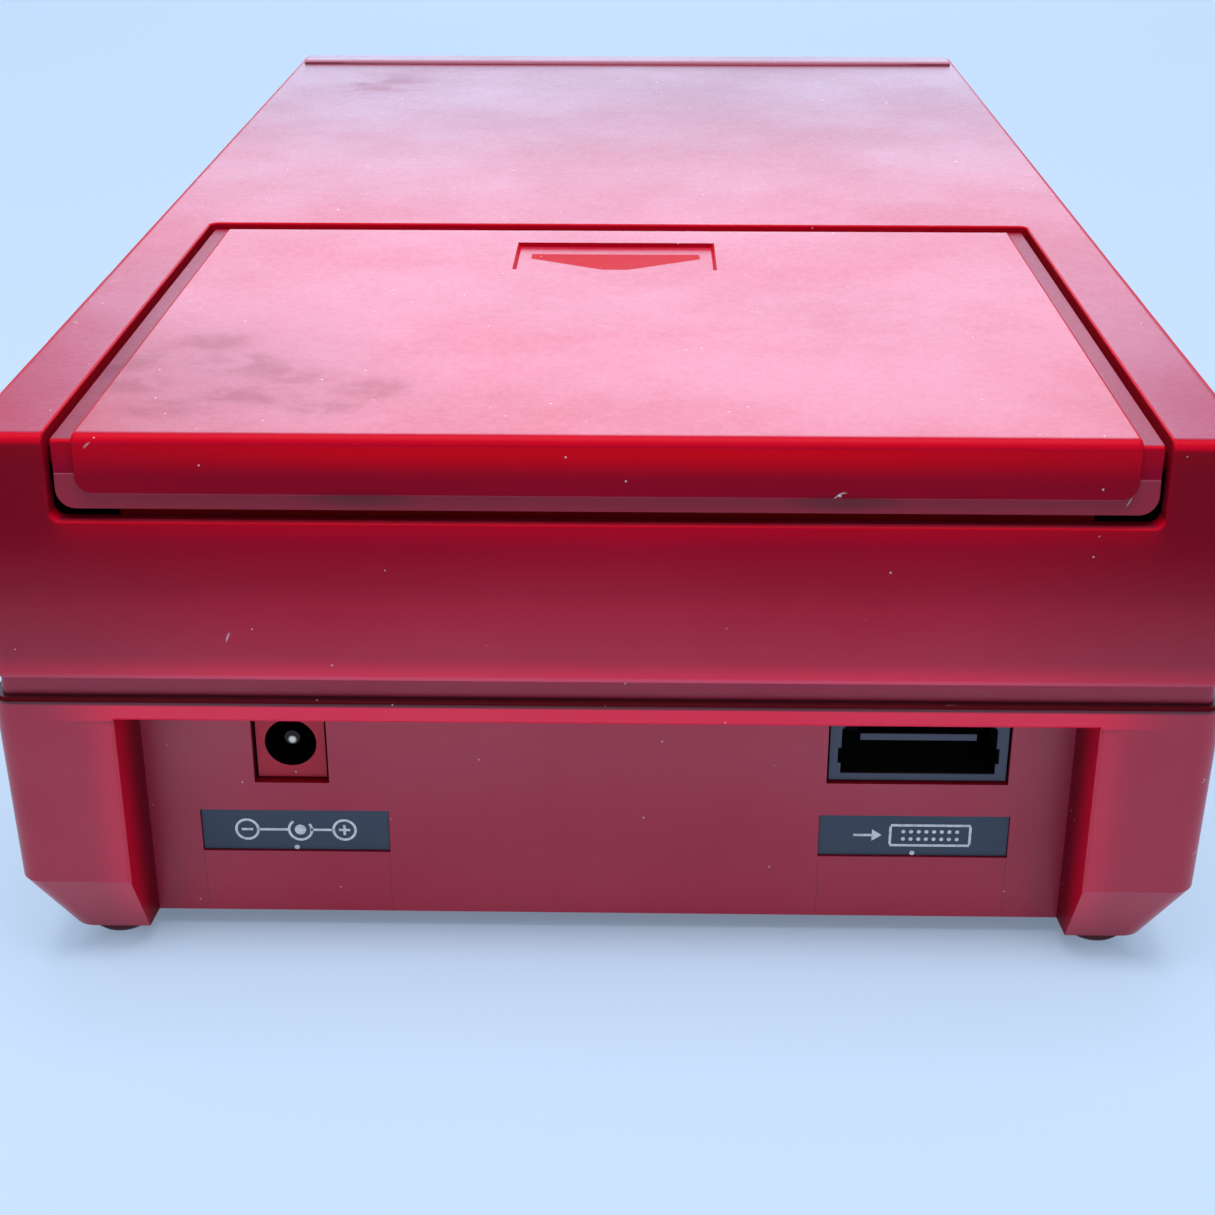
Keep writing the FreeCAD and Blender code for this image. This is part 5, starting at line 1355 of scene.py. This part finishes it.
button_low, button_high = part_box("eject_button")
button_face = button_low.y
button_middle = 33.0 * MM
rib_count = 6
rib_pitch = 2.4 * MM
rib_x = (button_low.x + button_high.x) / 2 - rib_pitch * (rib_count - 1) / 2
rib_points = [(rib_x + n * rib_pitch, button_face, button_middle) for n in range(rib_count)]
grow("button_ribs", rib_points, rib_tree(), {
    "Finish": amber_abs, "Half Width": 0.55 * MM, "Rise": 0.4 * MM, "Half Height": 2.9 * MM,
}, "eject")

# %% [markdown]
# Two coil springs push the card carrier up, and they shorten when a card presses it down.
# A rigid spring would stick through the carrier. The coils are copied from the part's own solid, so each
# turn stays where it is. The share of their height that they would keep at the limit of the carrier's
# joint is worked out, but no squash is put on them, so they keep their full height.

# %% Lift springs
card_lift = next(joint for joint in frame["joints"] if joint["name"] == "card_lift")
spring_foot = card_lift["deforming_nodes"][0]["fixed_end_z_m"]
spring_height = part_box("lift_springs")[1].z - spring_foot
pressed_share = 1 - card_lift["range_m"][1] / spring_height


def coil_copy(name, node):
    coils = bmesh.new()
    coils.from_mesh(frame["nodes"][node].data)
    bmesh.ops.remove_doubles(coils, verts=coils.verts, dist=merge_gap)
    return settle(from_bmesh(name, coils, nickel_spring), "case", [node])


pressed_springs = coil_copy("pressed_springs", "lift_springs")
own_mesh(pressed_springs)
print("springs keep", round(pressed_share, 3), "of", round(spring_height / MM, 2), "mm")

# %% [markdown]
# The floor is a pale blue sheet that runs out of sight.
# Its paleness for the eye, for mirrors and for glass comes mostly from a glow that only those rays meet, so
# no extra lamp is needed for it. The rest is a plain matt surface, which keeps the shadow under the unit.
# The glow is weaker right under the unit, where the real floor is dark.

# %% Floor
floor_half = 6.0
floor_blue = (0.58, 0.74, 0.94, 1)
floor_pale = (0.61, 0.77, 0.97, 1)
glow_blue = (0.52, 0.69, 0.92, 1)
glow_pale = (0.66, 0.86, 1.0, 1)
floor_glow = 0.70
shade_glow = 0.30
shade_soft = 14 * MM
shade_half_x = solid_box[1].x - 14 * MM
shade_half_y = solid_box[1].y - 12 * MM
glow_near = 0.15
glow_far = 0.60
mottle_scale = 5


def larger(first, second):
    return first.math("MAXIMUM", first, second)


def pale_rays(wire):
    kinds = ("Is Camera Ray", "Is Glossy Ray", "Is Transmission Ray")
    seen, mirrored, through = (wire.node("ShaderNodeLightPath", output=kind) for kind in kinds)
    return larger(seen, larger(mirrored, through))


def floor_finish(name):
    material, wire = new_finish(name)
    at = position(wire)
    mottle = noise(at, mottle_scale, detail=3.0)
    away = at.node("ShaderNodeVectorMath", {"operation": "LENGTH"}, {0: at}, 1)
    far = smooth(away, glow_near, glow_far) * 0.25 + mottle * 0.1
    colour = blend(mottle, floor_blue, floor_pale)
    glow_colour = blend(far, glow_blue, glow_pale)
    matt_sockets = {"Base Color": colour, "Roughness": 0.75 + mottle * 0.1}
    matt = wire.node("ShaderNodeBsdfPrincipled", None, matt_sockets)
    glow = wire.node("ShaderNodeEmission", None, {"Color": glow_colour})
    outside = larger(abs(part_of(at, 0)) - shade_half_x, abs(part_of(at, 1)) - shade_half_y)
    open_floor = smooth(outside, 0.0, shade_soft)
    share = pale_rays(wire) * (shade_glow + open_floor * (floor_glow - shade_glow))
    both = wire.node("ShaderNodeMixShader", None, {0: share, 1: matt, 2: glow})
    wire.node("ShaderNodeOutputMaterial", None, {"Surface": both})
    return material


floor_corners = [(x * floor_half, y * floor_half, 0) for x, y in ((-1, -1), (1, -1), (1, 1), (-1, 1))]
floor_mesh = bpy.data.meshes.new("floor")
floor_mesh.from_pydata(floor_corners, [], [(0, 1, 2, 3)])
floor_mesh.materials.append(floor_finish("pale_floor"))
floor = new_piece("floor", floor_mesh)
print("floor", 2 * floor_half, "m wide")

# %% [markdown]
# The unit stands in a light tent: bright beyond it and above it, dim on the side of the lens.
# That is why its top shines pale pink at a flat angle while its rear face stays deep red. The world gives a
# soft gradient to diffuse light, and a plain pale sky to whatever looks straight at it or mirrors it. Two
# large panels add the roof's and the far wall's share, because the world alone casts hardly any shadow.

# %% Light
tent_blue = (0.72, 0.84, 1.0, 1)
dimmest = 0.20
from_beyond = 0.16
from_above = 0.30


def tent():
    world = bpy.data.worlds.new("tent")
    bpy.context.scene.world = world
    world.use_nodes = True
    world.node_tree.nodes.clear()
    wire = Wire(world.node_tree)
    ray = wire.node("ShaderNodeTexCoord", output="Generated")
    beyond = smooth(0 - part_of(ray, 1), -0.5, 0.9)
    above = smooth(part_of(ray, 2), -0.1, 1.0)
    level = dimmest + beyond * from_beyond + above * from_above
    strength = level + pale_rays(wire) * (1 - level)
    sky = wire.node("ShaderNodeBackground", None, {"Color": tent_blue, "Strength": strength})
    wire.node("ShaderNodeOutputWorld", None, {"Surface": sky})


def panel_light(name, spot, aim, width, height, watts, colour):
    lamp = bpy.data.lights.new(name, "AREA")
    lamp.shape = "RECTANGLE"
    lamp.size = width
    lamp.size_y = height
    lamp.energy = watts
    lamp.color = colour
    holder = bpy.data.objects.new(name, lamp)
    holder.location = spot
    holder.rotation_euler = (Vector(aim) - Vector(spot)).to_track_quat("-Z", "Y").to_euler()
    holder.visible_camera = False
    bpy.context.scene.collection.objects.link(holder)
    print(name, watts, "W")


tent()
panel_light("roof_panel", spot=(0.0, 0.16, 0.75), aim=(0, 0.12, 0), width=0.5, height=0.5, watts=6.2,
            colour=(1.0, 0.96, 0.97))
panel_light("back_panel", spot=(0.0, -1.30, 0.55), aim=(0, 0, 0.10), width=1.0, height=0.9, watts=8.0,
            colour=(0.62, 0.72, 1.0))

# %% [markdown]
# The camera is low and close behind the unit, a little to one side of its middle.
# Its place, aim and lens were found from the straight edges of the case, so the solids fall on the edges
# that the photograph shows. Standard view keeps colours as they are written.

# %% Camera
lens_mm = 60.2
sensor_mm = 36.0
nearest = 0.01
camera_spot = Vector((-0.0044, 0.3518, 0.1519))
camera_aim = Vector((0.01684, -0.9101, -0.4141))
camera_data = bpy.data.cameras.new("camera")
camera_data.lens = lens_mm
camera_data.sensor_width = sensor_mm
camera_data.clip_start = nearest
camera = bpy.data.objects.new("camera", camera_data)
camera.location = camera_spot
camera.rotation_mode = "QUATERNION"
camera.rotation_quaternion = camera_aim.to_track_quat("-Z", "Y")
bpy.context.scene.collection.objects.link(camera)
bpy.context.scene.camera = camera
bpy.context.scene.view_settings.view_transform = "Standard"
print("camera", lens_mm, "mm, stands", round(camera_spot.length, 3), "m from the middle")
